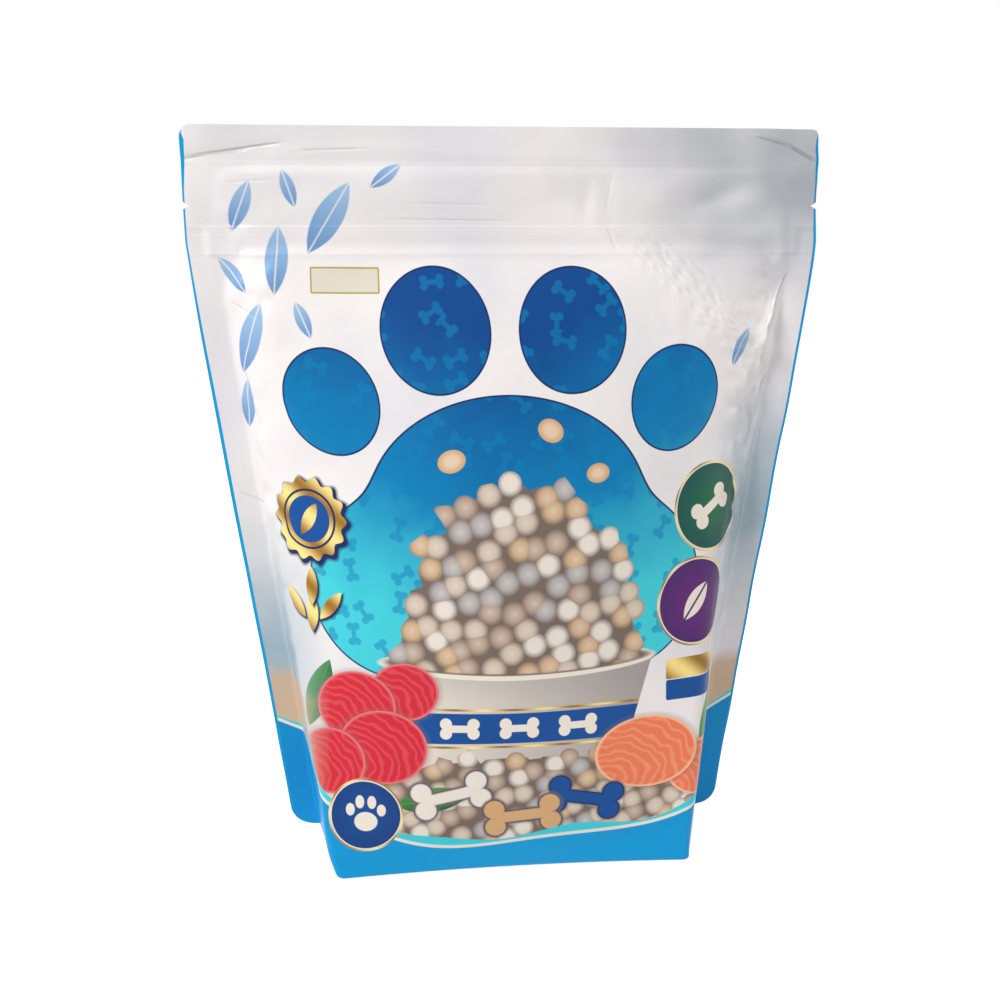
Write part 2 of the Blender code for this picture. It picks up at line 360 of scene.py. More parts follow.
    def row_heights(self) -> Array:
        """Heights of a sheet's rows, closer together at the base fold, the notches and the top corners.

        Returns:
            The heights from the floor up, in metres.
        """
        evenly = np.linspace(0, self.height, round(self.height / self.row_spacing) + 1)
        fold = np.array(self.fold_rows) * self.base_fold_radius
        notch = self.notch_middle + np.array(self.notch_rows) * self.notch_height / 2
        corner = self.height - self.top_left_radius * (1 - np.array(self.corner_rows))
        ears = self.ear_radius * np.array(self.ear_rows)
        special = np.concatenate((fold, notch, corner, ears))
        ends = (0, self.height)
        kept = [row for row in evenly if np.abs(special - row).min() > self.least_row_gap or row in ends]
        return np.sort(np.concatenate((kept, special)))


# Creases and dents in the film

FOLD_BLUNTNESS = 0.4  # of a fold's width that its top is rounded over
DENT_FALL = 1.3  # how quickly a dent runs out at its radii
CRUMPLE_FULL = 1.6  # a crumple's edge runs from full to none as its reach grows
CRUMPLE_FALL = 1.1
FACET_HALF = 0.25  # half of a facet's height above its ridges, in cells
CLOUD_GAIN = 1.6


@dataclass(frozen=True)
class Fold:
    """A crease along a line of film places, in millimetres.

    height is how far the film stands out along it. left and right are how quickly that fades on each side.
    """

    line: tuple[Spot, ...]
    height: float
    left: float
    right: float

    def raised(self, u: Array, v: Array) -> Array:
        """How far this crease lifts the film.

        Args:
            u: The film places' distances from the middle line, in millimetres.
            v: Their heights.

        Returns:
            The lift at each place, in millimetres.
        """
        nearest = np.full(u.shape, FAR)
        turned = np.zeros(u.shape)
        for (u0, v0), (u1, v1) in zip(self.line, self.line[1:]):
            run, climb = u1 - u0, v1 - v0
            along = np.clip(((u - u0) * run + (v - v0) * climb) / (run * run + climb * climb), 0, 1)
            away_u, away_v = u - u0 - along * run, v - v0 - along * climb
            distance = np.hypot(away_u, away_v)
            closer = distance < nearest
            nearest = np.where(closer, distance, nearest)
            turned = np.where(closer, run * away_v - climb * away_u, turned)
        width = np.where(turned > 0, self.left, self.right)
        blunted = np.sqrt((nearest / width) ** 2 + FOLD_BLUNTNESS**2)
        return self.height * np.exp(FOLD_BLUNTNESS - blunted)


@dataclass(frozen=True)
class Dent:
    """A soft oval hollow (height below 0) or hump at a film place, in millimetres. turn is in degrees."""

    at: Spot
    radii: Spot
    turn: float
    height: float

    def raised(self, u: Array, v: Array) -> Array:
        """How far this dent lifts the film.

        Args:
            u: The film places' distances from the middle line, in millimetres.
            v: Their heights.

        Returns:
            The lift at each place, in millimetres.
        """
        cosine, sine = math.cos(math.radians(self.turn)), math.sin(math.radians(self.turn))
        du, dv = u - self.at[0], v - self.at[1]
        across = (du * cosine + dv * sine) / self.radii[0]
        upward = (dv * cosine - du * sine) / self.radii[1]
        return self.height * np.exp(-DENT_FALL * (across**2 + upward**2))


@dataclass(frozen=True)
class Crumple:
    """Small flat facets between soft ridges, where film is pushed together. Sizes are in millimetres."""

    size: float
    height: float
    seed: float
    at: Spot
    radii: Spot
    stretch: float = 1.0

    def raised(self, u: Array, v: Array) -> Array:
        """How far the facets lift the film.

        Args:
            u: The film places' distances from the middle line, in millimetres.
            v: Their heights.

        Returns:
            The lift at each place, in millimetres.
        """
        reach = np.hypot((u - self.at[0]) / self.radii[0], (v - self.at[1]) / self.radii[1])
        within = smooth(CRUMPLE_FULL - reach * CRUMPLE_FALL)
        lifted = np.zeros(u.shape)
        for index in np.ndindex(u.shape):
            if within[index] > 0:
                place = Vector((u[index] * self.stretch / self.size, v[index] / self.size, self.seed))
                near, far = noise.voronoi(place)[0][:2]
                lifted[index] = min(far - near, 2 * FACET_HALF) - FACET_HALF
        return self.height * within * lifted * 2


def cloudy(u: Array, v: Array, size: float, seed: float) -> Array:
    """Smooth noise from about -1 to 1, with hills of about the given size."""
    values = [noise.noise(Vector((a / size, b / size, seed))) for a, b in zip(u.ravel(), v.ravel())]
    return np.array(values).reshape(u.shape) * CLOUD_GAIN


Feature = Fold | Dent | Crumple


def raised_by(features: tuple[Feature, ...], u: Array, v: Array) -> Array:
    """How far all the creases and dents of a sheet together lift the film.

    Args:
        features: The creases, dents and crumples.
        u: The film places' distances from the middle line, in millimetres.
        v: Their heights.

    Returns:
        The lift at each place, in millimetres.
    """
    total = np.zeros(u.shape)
    for feature in features:
        total += feature.raised(u, v)
    return total


SEAL_FEATURES: tuple[Feature, ...] = (
    Fold(((-140, 307), (-124, 310.5), (-107, 313), (-94, 314.5)), 0.8, 1.6, 5.0),
    Fold(((-96, 312.5), (-62, 313), (-40, 312), (-4, 310), (40, 309), (90, 310.5)), -0.45, 1.8, 3.0),
    Fold(((-110, 306), (-60, 307), (0, 305), (60, 304), (100, 305)), 0.35, 2.4, 2.4),
    Fold(((103, 320.5), (112, 318), (120, 315.5), (128, 312.5), (139, 306)), -1.5, 4.5, 2.2),
    Dent((122, 304), (20, 6), -14, -0.9),
    Dent((137, 322), (34, 16), -35, 4.2),
    Dent((138, 296), (44, 44), 0, 3.6),
    Dent((-128, 321), (30, 10), 20, -1.2),
    Dent((-40, 322), (46, 14), 0, 0.9),
    Dent((50, 322), (40, 12), 0, -0.8),
)

FRONT_FEATURES: tuple[Feature, ...] = (
    Dent((90, 293.5), (15, 5), 19, -1.9),
    Dent((106, 292), (9, 7), 20, 1.0),
    Dent((118, 298), (10, 5), -20, -0.9),
    Dent((42, 295), (4, 13), 4, -0.9),
    Dent((33, 293), (3.4, 11), -6, -0.8),
    Dent((70, 298), (13, 6), 32, 0.9),
    Dent((52, 296), (16, 7), -12, 0.8),
    Dent((20, 291), (22, 6), 5, -0.7),
    Dent((-40, 294), (30, 8), -3, 0.7),
    Dent((-90, 296), (22, 7), 6, -0.7),
    Dent((-112, 285), (14, 8), -20, 0.7),
    Fold(((60, 280), (100, 279.4), (128, 279)), 0.35, 0.9, 2.2),
    Dent((112, 271), (13, 4), -14, -2.2),
    Dent((121, 266), (5, 4), 30, 0.9),
    Dent((96, 271), (9, 3), 5, -0.5),
    Fold(((124.5, 264), (121, 253), (116.5, 244), (112.5, 236)), 3.6, 8.5, 2.0),
    Dent((125.5, 248), (4, 13), -14, -2.0),
    Fold(
        ((113, 236), (114.5, 229), (115.5, 222), (121, 217), (118.5, 210), (123, 203), (120, 190)),
        1.1,
        2.4,
        2.4,
    ),
    Dent((119.5, 228), (2.6, 5), 15, -1.0),
    Dent((112.5, 219), (3.6, 3), 20, -0.8),
    Dent((124, 211), (2.5, 4.5), 10, -0.9),
    Dent((116, 203), (3, 5), -10, -0.8),
    Fold(((121, 190), (117, 172), (122, 152), (117, 128), (121, 104)), 1.1, 5, 4),
    Dent((125, 178), (3.5, 9), 10, -1.2),
    Dent((112, 160), (5, 10), -8, -0.9),
    Dent((124, 138), (4, 9), 0, -1.1),
    Crumple(13, 0.7, 3.1, (98, 243), (38, 30), 0.8),
    Crumple(12, 1.5, 7.4, (116, 205), (18, 62), 1.3),
    Crumple(15, 1.1, 1.7, (120, 120), (18, 60), 1.3),
    Fold(((-116, 262), (-106, 244), (-98, 222), (-92, 200)), 0.9, 7, 4.5),
    Fold(((-127, 236), (-127.5, 222), (-126, 204), (-122, 186)), -1.1, 3.2, 4.5),
    Fold(((-132, 170), (-126, 166), (-118, 161)), 0.9, 2.4, 2.0),
    Fold(((-119, 142), (-127, 131), (-119, 118), (-110, 103)), 0.9, 2.6, 3.0),
    Dent((-124, 150), (4, 8), -15, -1.2),
    Dent((-121, 112), (4, 9), 12, -1.0),
    Crumple(14, 0.9, 5.3, (-119, 235), (22, 44), 1.0),
    Crumple(13, 1.3, 9.2, (-120, 140), (18, 62), 1.3),
    Dent((-60, 262), (20, 7), 10, -0.6),
    Dent((-20, 266), (14, 6), -5, 0.5),
    Dent((30, 265), (20, 6), 4, -0.5),
)

BACK_FEATURES: tuple[Feature, ...] = (
    Dent((-86, 292), (16, 5), -16, -1.0),
    Dent((70, 290), (22, 6), 8, -0.8),
    Dent((10, 294), (26, 6), -3, 0.5),
    Fold(((-122, 262), (-114, 246), (-108, 230), (-104, 208)), 1.6, 4, 5),
    Fold(((121, 262), (115, 246), (110, 232), (112, 214), (106, 196)), 1.6, 5, 3),
    Fold(((-60, 268), (-50, 250), (-34, 236)), 0.7, 6, 4),
    Fold(((52, 268), (44, 252), (28, 240)), 0.7, 4, 6),
    Dent((-84, 250), (8, 3), 38, -0.7),
    Dent((88, 246), (8, 3), -36, -0.7),
    Crumple(14, 0.9, 12.1, (-112, 225), (30, 50), 1.0),
    Crumple(14, 0.9, 14.6, (112, 225), (30, 50), 1.0),
    Crumple(14, 0.7, 16.2, (-122, 120), (16, 70), 1.2),
    Crumple(14, 0.7, 18.8, (122, 120), (16, 70), 1.2),
)


# How far the back sheet shows past the front one: heights and widths in millimetres
LEFT_OVERHANG: tuple[Spot, ...] = (
    (0, 0.9),
    (60, 1.5),
    (200, 1.6),
    (240, 1.2),
    (265, 0.85),
    (296, 0.8),
    (306, 1.5),
    (316, 1.9),
    (320, 0.6),
)
RIGHT_OVERHANG: tuple[Spot, ...] = ((0, 0.9), (60, 1.2), (280, 1.3), (297, 0.9), (314, 1.5), (320, 0.5))


# The film's sheets

LAYER_DROP = 0.5  # from the outer flat grid to the inner one, before their points are placed


@dataclass(frozen=True)
class BakeArea:
    """Where a sheet's layers lie on the bake map: the outer one between corners, the inner one in a band."""

    low: Spot
    high: Spot
    inner_band: Spot


SHEET_BAKE = BakeArea((0.004, 0.004), (0.996, 0.9), (0.92, 0.99))
GUSSET_BAKE = BakeArea((0.01, 0.01), (0.99, 0.85), (0.9, 0.98))


@dataclass
class Shell:
    """A closed thin sheet from a grid of outer points: an outer layer, an inner one and the rim between."""

    name: str
    outer: Array
    inner: Array
    film_map: Array
    bake: BakeArea
    outer_materials: tuple[bpy.types.Material, ...] = field(repr=False)
    inner_material: bpy.types.Material = field(repr=False)
    band_edges: tuple[float, ...] = ()
    rim_angle: float = 50.0

    def build(self) -> bpy.types.Object:
        """Make the sheet.

        Returns:
            Its object, with its maps and its materials.
        """
        rows, columns = self.outer.shape[:2]
        bm = bmesh.new()
        bmesh.ops.create_grid(bm, x_segments=columns - 1, y_segments=rows - 1, size=1)
        copied = bmesh.ops.duplicate(bm, geom=bm.verts[:] + bm.edges[:] + bm.faces[:])["geom"]
        below = [item for item in copied if isinstance(item, bmesh.types.BMVert)]
        bmesh.ops.translate(bm, verts=below, vec=(0, 0, -LAYER_DROP))
        bmesh.ops.reverse_faces(bm, faces=[item for item in copied if isinstance(item, bmesh.types.BMFace)])
        bmesh.ops.bridge_loops(bm, edges=[edge for edge in bm.edges if edge.is_boundary])
        bmesh.ops.recalc_face_normals(bm, faces=bm.faces)
        mesh = bpy.data.meshes.new(self.name)
        bm.to_mesh(mesh)
        bm.free()
        self.place_points(mesh)
        for material in (self.inner_material, *self.outer_materials):
            mesh.materials.append(material)
        mesh.shade_smooth()
        mesh.set_sharp_from_angle(angle=math.radians(self.rim_angle))
        piece = bpy.data.objects.new(self.name, mesh)
        bpy.context.scene.collection.objects.link(piece)
        return piece

    def place_points(self, mesh: bpy.types.Mesh) -> None:
        """Move the flat grids' points to the sheet's, and lay out both maps.

        Args:
            mesh: The two flat grids from -1 to 1 and their rim.
        """
        rows, columns = self.outer.shape[:2]
        flat = np.empty(len(mesh.vertices) * 3, np.float32)
        mesh.vertices.foreach_get("co", flat)
        flat = flat.reshape(-1, 3)
        column = np.rint((flat[:, 0] + 1) / 2 * (columns - 1)).astype(int)
        row = np.rint((flat[:, 1] + 1) / 2 * (rows - 1)).astype(int)
        lower = flat[:, 2] < -LAYER_DROP / 2
        points = np.where(lower[:, None], self.inner[row, column], self.outer[row, column])
        mesh.vertices.foreach_set("co", points.astype(np.float32).ravel())
        corners = np.empty(len(mesh.loops), np.int32)
        mesh.loops.foreach_get("vertex_index", corners)
        corners = corners.reshape(-1, 4)
        layers = lower[corners]
        inside = layers.all(axis=1)
        film = self.film_map[row, column][corners.ravel()]
        band = 1 + np.digitize(film.reshape(-1, 4, 2)[..., 1].mean(axis=1), self.band_edges)
        mesh.polygons.foreach_set("material_index", np.where(inside, 0, band).astype(np.int32))
        mesh.uv_layers.new(name=FILM_MAP).data.foreach_set("uv", film.astype(np.float32).ravel())
        low, high = np.array(self.bake.low), np.array(self.bake.high)
        band_low, band_high = self.bake.inner_band
        least = self.film_map.reshape(-1, 2).min(0)
        span = self.film_map.reshape(-1, 2).max(0) - least
        even = (self.film_map[row, column] - least) / span
        shown = (low + even * (high - low))[corners]
        hidden = even[corners] * (high[0] - low[0], band_high - band_low) + (low[0], band_low)
        baked = np.where(inside[:, None, None], hidden, shown)
        mesh.uv_layers.new(name=BAKE_MAP).data.foreach_set("uv", baked.astype(np.float32).ravel())
        mesh.uv_layers[FILM_MAP].active_render = True
        mesh.update()


def grid_normals(points: Array) -> Array:
    """Unit normals of a grid of points, by the right-hand rule over columns and then rows.

    Args:
        points: Rows and columns of places.

    Returns:
        A direction for each place.
    """
    across = np.gradient(points, axis=1)
    upward = np.gradient(points, axis=0)
    crossed = np.cross(across, upward)
    return crossed / np.maximum(np.linalg.norm(crossed, axis=2, keepdims=True), TINY)


@dataclass
class Sheet:
    """The front or the back sheet of film, with its creases.

    Hills and ripples are in millimetres. Creases and dents fade out at the fins, the top seal and the base.
    """

    form: PouchForm
    face: Face
    features: tuple[Feature, ...]
    overhang_left: tuple[Spot, ...]
    overhang_right: tuple[Spot, ...]
    thickness: float = 0.00026
    hill_size: float = 48.0
    hill_height: float = 1.1
    ripple_size: float = 11.0
    ripple_height: float = 1.2
    ripple_reach: float = 13.0
    ripple_lean: float = 0.5
    ripple_spread: float = 9.0
    hill_seed: float = 0.5
    ripple_seed: float = 2.5
    wave_seed: float = 0.0
    fin_fade: float = 0.009
    top_fade: float = 0.010
    base_fade: float = 0.012
    fade_margin: float = 0.002
    zipper_edge: float = 0.0015
    zipper_end: float = 0.0075
    zipper_end_fade: float = 0.002

    def trim(self, height: float, side: int) -> float:
        """How far in from the seam edge this sheet ends.

        Args:
            height: Metres above the floor.
            side: -1 for the left edge and 1 for the right.

        Returns:
            The distance in metres.
        """
        corner = self.form.corner_trim(height, side)
        table = self.overhang_left if side < 0 else self.overhang_right
        if not table:
            return corner
        levels, widths = zip(*table)
        return max(corner, MM * float(np.interp(height / MM, levels, widths)))

    def half_row(self, height: float, side: int) -> tuple[Array, Array, Array]:
        """One half of a row.

        Args:
            height: Metres above the floor.
            side: -1 for the left half and 1 for the right.

        Returns:
            The points from the middle out, their film places u in metres, and how free of the seams each is.
        """
        form = self.form
        trim = self.trim(height, side)
        section = form.half_section(height, side, trim)
        x, depth = section[:, 0], section[:, 1]
        length = np.concatenate(((0.0,), np.cumsum(np.hypot(*np.diff(section, axis=0).T))))
        u = length * form.half_width / (length[-1] + trim)
        crease_x = form.crease_distance(height, side)
        inward = np.clip((depth - form.half_seal) / form.centre_half_depth(height), 0, 1)
        above_fold = min(height / form.base_fold_radius, 1.0)
        inset = form.base_fold_radius * (1 - math.sqrt(1 - (1 - above_fold) ** 2))
        bow = form.front_fold_bow * max(1 - height / form.bow_height, 0.0) ** 2
        depth = depth - bow * np.clip(1 - (x / crease_x) ** 2, 0, 1) - inset * inward
        x = x - inset * np.clip(x / crease_x, 0, 1)
        lift = form.ear_lift * max(1 - height / form.ear_lift_fade, 0.0)
        root = form.seam_half_width(height) - form.fin_width
        beside = smooth((root + self.fade_margin - x) / self.fin_fade)
        from_zipper = abs(height - form.zipper_height)
        band = smooth((form.zipper_band / 2 - from_zipper) / self.zipper_edge)
        band_end = form.seam_half_width(height) - self.zipper_end
        rise = form.zipper_rise * band * smooth((band_end - x) / self.zipper_end_fade)
        under_seal = float(smooth((form.seal_height + self.fade_margin - height) / self.top_fade))
        free = beside * under_seal * float(smooth(height / self.base_fade))
        lifted = height + lift * form.lift_shares()
        points = np.stack((side * x, self.face.value * (depth + rise), lifted), axis=1)
        return points, side * u, free

    def build(self, outer: tuple[bpy.types.Material, ...], inner: bpy.types.Material) -> bpy.types.Object:
        """Make the sheet.

        Args:
            outer: The materials of its outer side, from the lowest band up.
            inner: The material of its inner side.

        Returns:
            The sheet's object.
        """
        heights = self.form.row_heights()
        halves = [[self.half_row(height, side) for side in (-1, 1)] for height in heights]
        points, u, free = (
            np.array([np.concatenate((left[part][:0:-1], right[part])) for left, right in halves])
            for part in range(3)
        )
        v = np.repeat(heights[:, None], u.shape[1], axis=1)
        film_map = np.stack((u / self.form.half_width / 2 + 0.5, v / self.form.height), axis=2)
        points = points + self.pushed(points, u / MM, v / MM, free)
        points[..., 1] += seam_bend(self.form, points[..., 0], points[..., 2])
        normals = grid_normals(points) * -self.face.value
        inner_points = points - normals * self.thickness
        if self.face is Face.BACK:
            points, inner_points, film_map = points[:, ::-1], inner_points[:, ::-1], film_map[:, ::-1]
            film_map = film_map * (-1, 1) + (1, 0)
        name = "film_front" if self.face is Face.FRONT else "film_back"
        edges = tuple(zone.value[1] * MM / self.form.height for zone in Zone)[: len(outer) - 1]
        return Shell(name, points, inner_points, film_map, SHEET_BAKE, outer, inner, edges).build()

    def pushed(self, points: Array, u: Array, v: Array, free: Array) -> Array:
        """How creases, dents, soft hills and the ripples beside the seams move the sheet's points.

        Args:
            points: Rows and columns of places.
            u: Their film places' distances from the middle line, in millimetres.
            v: Their film places' heights.
            free: How free of the seams each one is.

        Returns:
            The way that each place moves, in metres.
        """
        hills = self.hill_height * cloudy(u, v, self.hill_size, self.wave_seed + self.hill_seed)
        side = np.sign(u)
        root = np.abs(np.where(side < 0, u.min(axis=1, keepdims=True), u.max(axis=1, keepdims=True)))
        root = root - self.form.fin_width / MM
        from_root = np.clip(root - np.abs(u), 0, None)
        along, across = v + self.ripple_lean * from_root * side, self.ripple_spread * side
        ripples = cloudy(along, across, self.ripple_size, self.wave_seed + self.ripple_seed)
        ripples = self.ripple_height * ripples * np.exp(-from_root / self.ripple_reach)
        lifted = (hills + ripples + raised_by(self.features, u, v)) * free * MM
        return grid_normals(points) * -self.face.value * lifted[..., None]


BEND_DROP = 12.0  # millimetres below the zipper where the top's bends begin
BEND_REACH = 34.0
FIN_WAVE_HEIGHT = 0.9
FIN_WAVE_SIZE = 30.0
FIN_WAVE_SPREAD = 40.0
FIN_WAVE_SEED = 6.5


def seam_bend(form: PouchForm, x: Array, z: Array) -> Array:
    """How far both sheets together lean back, from the creases of the sealed top and the wavy fins.

    Args:
        form: The pouch's form.
        x: Metres from its middle plane.
        z: Metres above the floor.

    Returns:
        The lean at each place, in metres.
    """
    u, v = x / MM, z / MM
    top = smooth((v - form.zipper_height / MM + BEND_DROP) / BEND_REACH)
    together = raised_by(SEAL_FEATURES, u, v) * top
    edge = form.half_width - form.seam_pull_in * np.clip(1 - z / form.zipper_height, 0, 1)
    into_fin = smooth((np.abs(x) - edge + form.fin_width) / form.fin_width)
    waves = cloudy(v, np.sign(u) * FIN_WAVE_SPREAD, FIN_WAVE_SIZE, FIN_WAVE_SEED)
    return MM * (together + FIN_WAVE_HEIGHT * into_fin * waves)


@dataclass
class GussetFilm:
    """The folded film under the pouch: flat in the middle, with an upturned V at each end."""

    form: PouchForm
    fold_height: float = 0.042
    fold_start: float = 0.0595
    fold_bluntness: float = 0.002
    rim_share: float = 0.12
    rows: int = 28
    thickness: float = 0.00026

    def build(self, front: Sheet, outer: bpy.types.Material, inner: bpy.types.Material) -> bpy.types.Object:
        """Make the gusset, from the front sheet's bottom edge to the back's.

        Args:
            front: The front sheet, whose bottom edge the gusset meets.
            outer: The material of its underside.
            inner: The material of its inner side.

        Returns:
            The gusset's object.
        """
        form = self.form
        steps = form.front_steps + form.crease_steps + form.wall_steps
        left, right = (front.half_row(0.0, side)[0][: steps + 1] for side in (-1, 1))
        edge = np.concatenate((left[:0:-1], right))
        shares = np.linspace(-1, 1, self.rows + 1)
        x = np.repeat(edge[None, :, 0], len(shares), axis=0)
        y = shares[:, None] * -edge[None, :, 1]
        end = np.abs(edge[:, 0]).max()
        ridge = self.fold_height * np.clip((np.abs(x) - self.fold_start) / (end - self.fold_start), 0, 1)
        slope = 1 - np.sqrt(shares[:, None] ** 2 + self.fold_bluntness)
        rim = smooth((1 - np.abs(shares[:, None])) / self.rim_share)
        z = edge[None, :, 2] + ridge * np.clip(slope, 0, 1) * rim
        points = np.stack((x, y, z), axis=2)
        film_map = np.stack((x / form.half_width / 2 + 0.5, y / form.height + 0.5), axis=2)
        normals = -grid_normals(points)
        inner_points = points - normals * self.thickness
        layers = (points[::-1], inner_points[::-1], film_map[::-1])
        return Shell("film_gusset", *layers, GUSSET_BAKE, (outer,), inner).build()


# Shader maths


class Nodes:
    """Adds nodes to one material."""

    def __init__(self, tree: bpy.types.NodeTree) -> None:
        """Start from an empty tree."""
        tree.nodes.clear()
        self.tree = tree

    def add(self, kind: str, settings: dict | None = None, inputs: dict | None = None) -> bpy.types.Node:
        """Add any node.

        Args:
            kind: The node's type.
            settings: The node's own settings, set first. A ramp's stops are places with colours.
            inputs: A value or a wire for each socket, by name or number.

        Returns:
            The new node.
        """
        node = self.tree.nodes.new(kind)
        for name, value in (settings or {}).items():
            if name == "stops":
                self.set_stops(node.color_ramp, value)
            else:
                setattr(node, name, value)
        for name, value in (inputs or {}).items():
            if isinstance(value, Wire):
                self.tree.links.new(value.socket, node.inputs[name])
            elif isinstance(value, bpy.types.NodeSocket):
                self.tree.links.new(value, node.inputs[name])
            elif node.inputs[name].type == "RGBA":
                node.inputs[name].default_value = (*value, 1)
            else:
                node.inputs[name].default_value = value
        return node

    def set_stops(self, ramp: bpy.types.ColorRamp, stops: tuple[tuple[float, Colour], ...]) -> None:
        """Give a ramp its colours.

        Args:
            ramp: The ramp of a new node.
            stops: A place from 0 to 1 and a colour for each stop.
        """
        while len(ramp.elements) < len(stops):
            ramp.elements.new(0.5)
        for element, (place, colour) in zip(ramp.elements, stops):
            element.position = place
            element.color = (*colour, 1)

    def math(self, operation: str, *values: "Number | float", clamp: bool = False) -> "Number":
        """One step of arithmetic on numbers."""
        settings = {"operation": operation, "use_clamp": clamp}
        return Number(self, self.add("ShaderNodeMath", settings, dict(enumerate(values))).outputs[0])

    def vector(self, operation: str, *values: "Place | tuple[float, float, float]") -> "Place":
        """One step of arithmetic on places."""
        node = self.add("ShaderNodeVectorMath", {"operation": operation}, dict(enumerate(values)))
        return Place(self, node.outputs[0])

    def film_place(self) -> "Place":
        """Where a point is on the film.

        Returns:
            The place in millimetres: u, v and 0.
        """
        place = Place(self, self.add("ShaderNodeUVMap", {"uv_map": FILM_MAP}).outputs[0])
        corner, size = (-FILM_WIDTH / 2, 0.0, 0.0), (FILM_WIDTH, FILM_HEIGHT, 1.0)
        inputs = {"Vector": place, "Location": corner, "Scale": size}
        return Place(self, self.add("ShaderNodeMapping", {"vector_type": "POINT"}, inputs).outputs[0])

    def noise(self, place: "Place", size: float, detail: float = 2.0, roughness: float = 0.5) -> "Number":
        """Cloudy noise over the film.

        Args:
            place: The film place.
            size: How large the clouds are, about, in millimetres.
            detail: How many finer layers are added.
            roughness: How strong the finer layers are.

        Returns:
            A number from 0 to 1.
        """
        inputs = {"Vector": place, "Scale": 1 / size, "Detail": detail, "Roughness": roughness}
        node = self.add("ShaderNodeTexNoise", {"noise_dimensions": "2D"}, inputs)
        return Number(self, node.outputs[0])

    def cells(self, place: "Place", size: float, randomness: float) -> bpy.types.Node:
        """The node that parts the film into cells of about the given size, round strewn middles."""
        inputs = {"Vector": place, "Scale": 1 / size, "Randomness": randomness}
        return self.add("ShaderNodeTexVoronoi", {"voronoi_dimensions": "2D"}, inputs)


class Wire:
    """An output on its way through a material."""

    def __init__(self, nodes: Nodes, socket: bpy.types.NodeSocket) -> None:
        """Keep the socket and the nodes that it belongs to."""
        self.nodes = nodes
        self.socket = socket


class Number(Wire):
    """A number that varies over the film."""

    def __add__(self, other: "Number | float") -> "Number":
        """Sum."""
        return self.nodes.math("ADD", self, other)

    def __radd__(self, other: float) -> "Number":
        """Sum, with a plain number first."""
        return self.nodes.math("ADD", other, self)

    def __sub__(self, other: "Number | float") -> "Number":
        """Difference."""
        return self.nodes.math("SUBTRACT", self, other)

    def __rsub__(self, other: float) -> "Number":
        """Difference, with a plain number first."""
        return self.nodes.math("SUBTRACT", other, self)

    def __mul__(self, other: "Number | float") -> "Number":
        """Product."""
        return self.nodes.math("MULTIPLY", self, other)

    def __rmul__(self, other: float) -> "Number":
        """Product, with a plain number first."""
        return self.nodes.math("MULTIPLY", other, self)

    def __abs__(self) -> "Number":
        """Size without its sign."""
        return self.nodes.math("ABSOLUTE", self)

    def or_less(self, other: "Number | float") -> "Number":
        """The smaller of two: where these are distances, either shape."""
        return self.nodes.math("MINIMUM", self, other)

    def or_more(self, other: "Number | float") -> "Number":
        """The larger of two: where these are distances, only where both shapes are."""
        return self.nodes.math("MAXIMUM", self, other)

    def blended(self, other: "Number", reach: float) -> "Number":
        """Either of two shapes, run softly into each other."""
        return self.nodes.math("SMOOTH_MIN", self, other, reach)

    def inside(self, softness: float = 0.25) -> "Number":
        """1 where this distance is below 0, with a soft edge."""
        return self.nodes.math("MULTIPLY_ADD", self, -1 / softness, 0.5, clamp=True)

    def between(self, low: float, high: float) -> "Number":
        """0 at low, 1 at high, and clamped."""
        return self.nodes.math("MULTIPLY_ADD", self, 1 / (high - low), -low / (high - low), clamp=True)

    def wave(self, length: float, start: float = 0.0) -> "Number":
        """A sine wave from -1 to 1."""
        turned = self.nodes.math("MULTIPLY_ADD", self, 2 * math.pi / length, start)
        return self.nodes.math("SINE", turned)


class Place(Wire):
    """A place on the film, in millimetres."""

    def __sub__(self, other: "Place | tuple[float, float, float]") -> "Place":
        """The way from another place to this one."""
        return self.nodes.vector("SUBTRACT", self, other)

    def __add__(self, other: "Place | tuple[float, float, float]") -> "Place":
        """The place moved by another."""
        return self.nodes.vector("ADD", self, other)

    def __abs__(self) -> "Place":
        """Folded over both middle lines."""
        return self.nodes.vector("ABSOLUTE", self)

    def length(self) -> Number:
        """Distance from the origin."""
        node = self.nodes.add("ShaderNodeVectorMath", {"operation": "LENGTH"}, {0: self})
        return Number(self.nodes, node.outputs[1])

    def parts(self) -> tuple[Number, Number]:
        """The first two coordinates."""
        node = self.nodes.add("ShaderNodeSeparateXYZ", None, {0: self})
        return Number(self.nodes, node.outputs[0]), Number(self.nodes, node.outputs[1])

    def seen_from(self, at: Spot, turn: float = 0.0, size: Spot = (1.0, 1.0)) -> "Place":
        """The place as a shape at another spot has it.

        Args:
            at: The shape's middle.
            turn: How far the shape is turned, in degrees.
            size: How much larger the shape is than one of radius 1, along itself and across.

        Returns:
            The place from the shape's middle, turned and scaled with the shape.
        """
        away = self - (*at, 0.0)
        if not turn and size == (1.0, 1.0):
            return away
        if not turn:
            return self.nodes.vector("DIVIDE", away, (*size, 1.0))
        cosine, sine = math.cos(math.radians(turn)), math.sin(math.radians(turn))
        x = away.along((cosine / size[0], sine / size[0], 0.0))
        y = away.along((-sine / size[1], cosine / size[1], 0.0))
        return Place(self.nodes, self.nodes.add("ShaderNodeCombineXYZ", None, {0: x, 1: y}).outputs[0])

    def along(self, way: tuple[float, float, float]) -> Number:
        """How far this place lies along a direction."""
        node = self.nodes.add("ShaderNodeVectorMath", {"operation": "DOT_PRODUCT"}, {0: self, 1: way})
        return Number(self.nodes, node.outputs[1])


class Shade(Wire):
    """A colour that varies over the film."""

    def under(self, mask: Number, colour: "Shade | Colour") -> "Shade":
        """This colour with another laid over it where the mask is 1."""
        return mix(self.nodes, mask, self, colour)


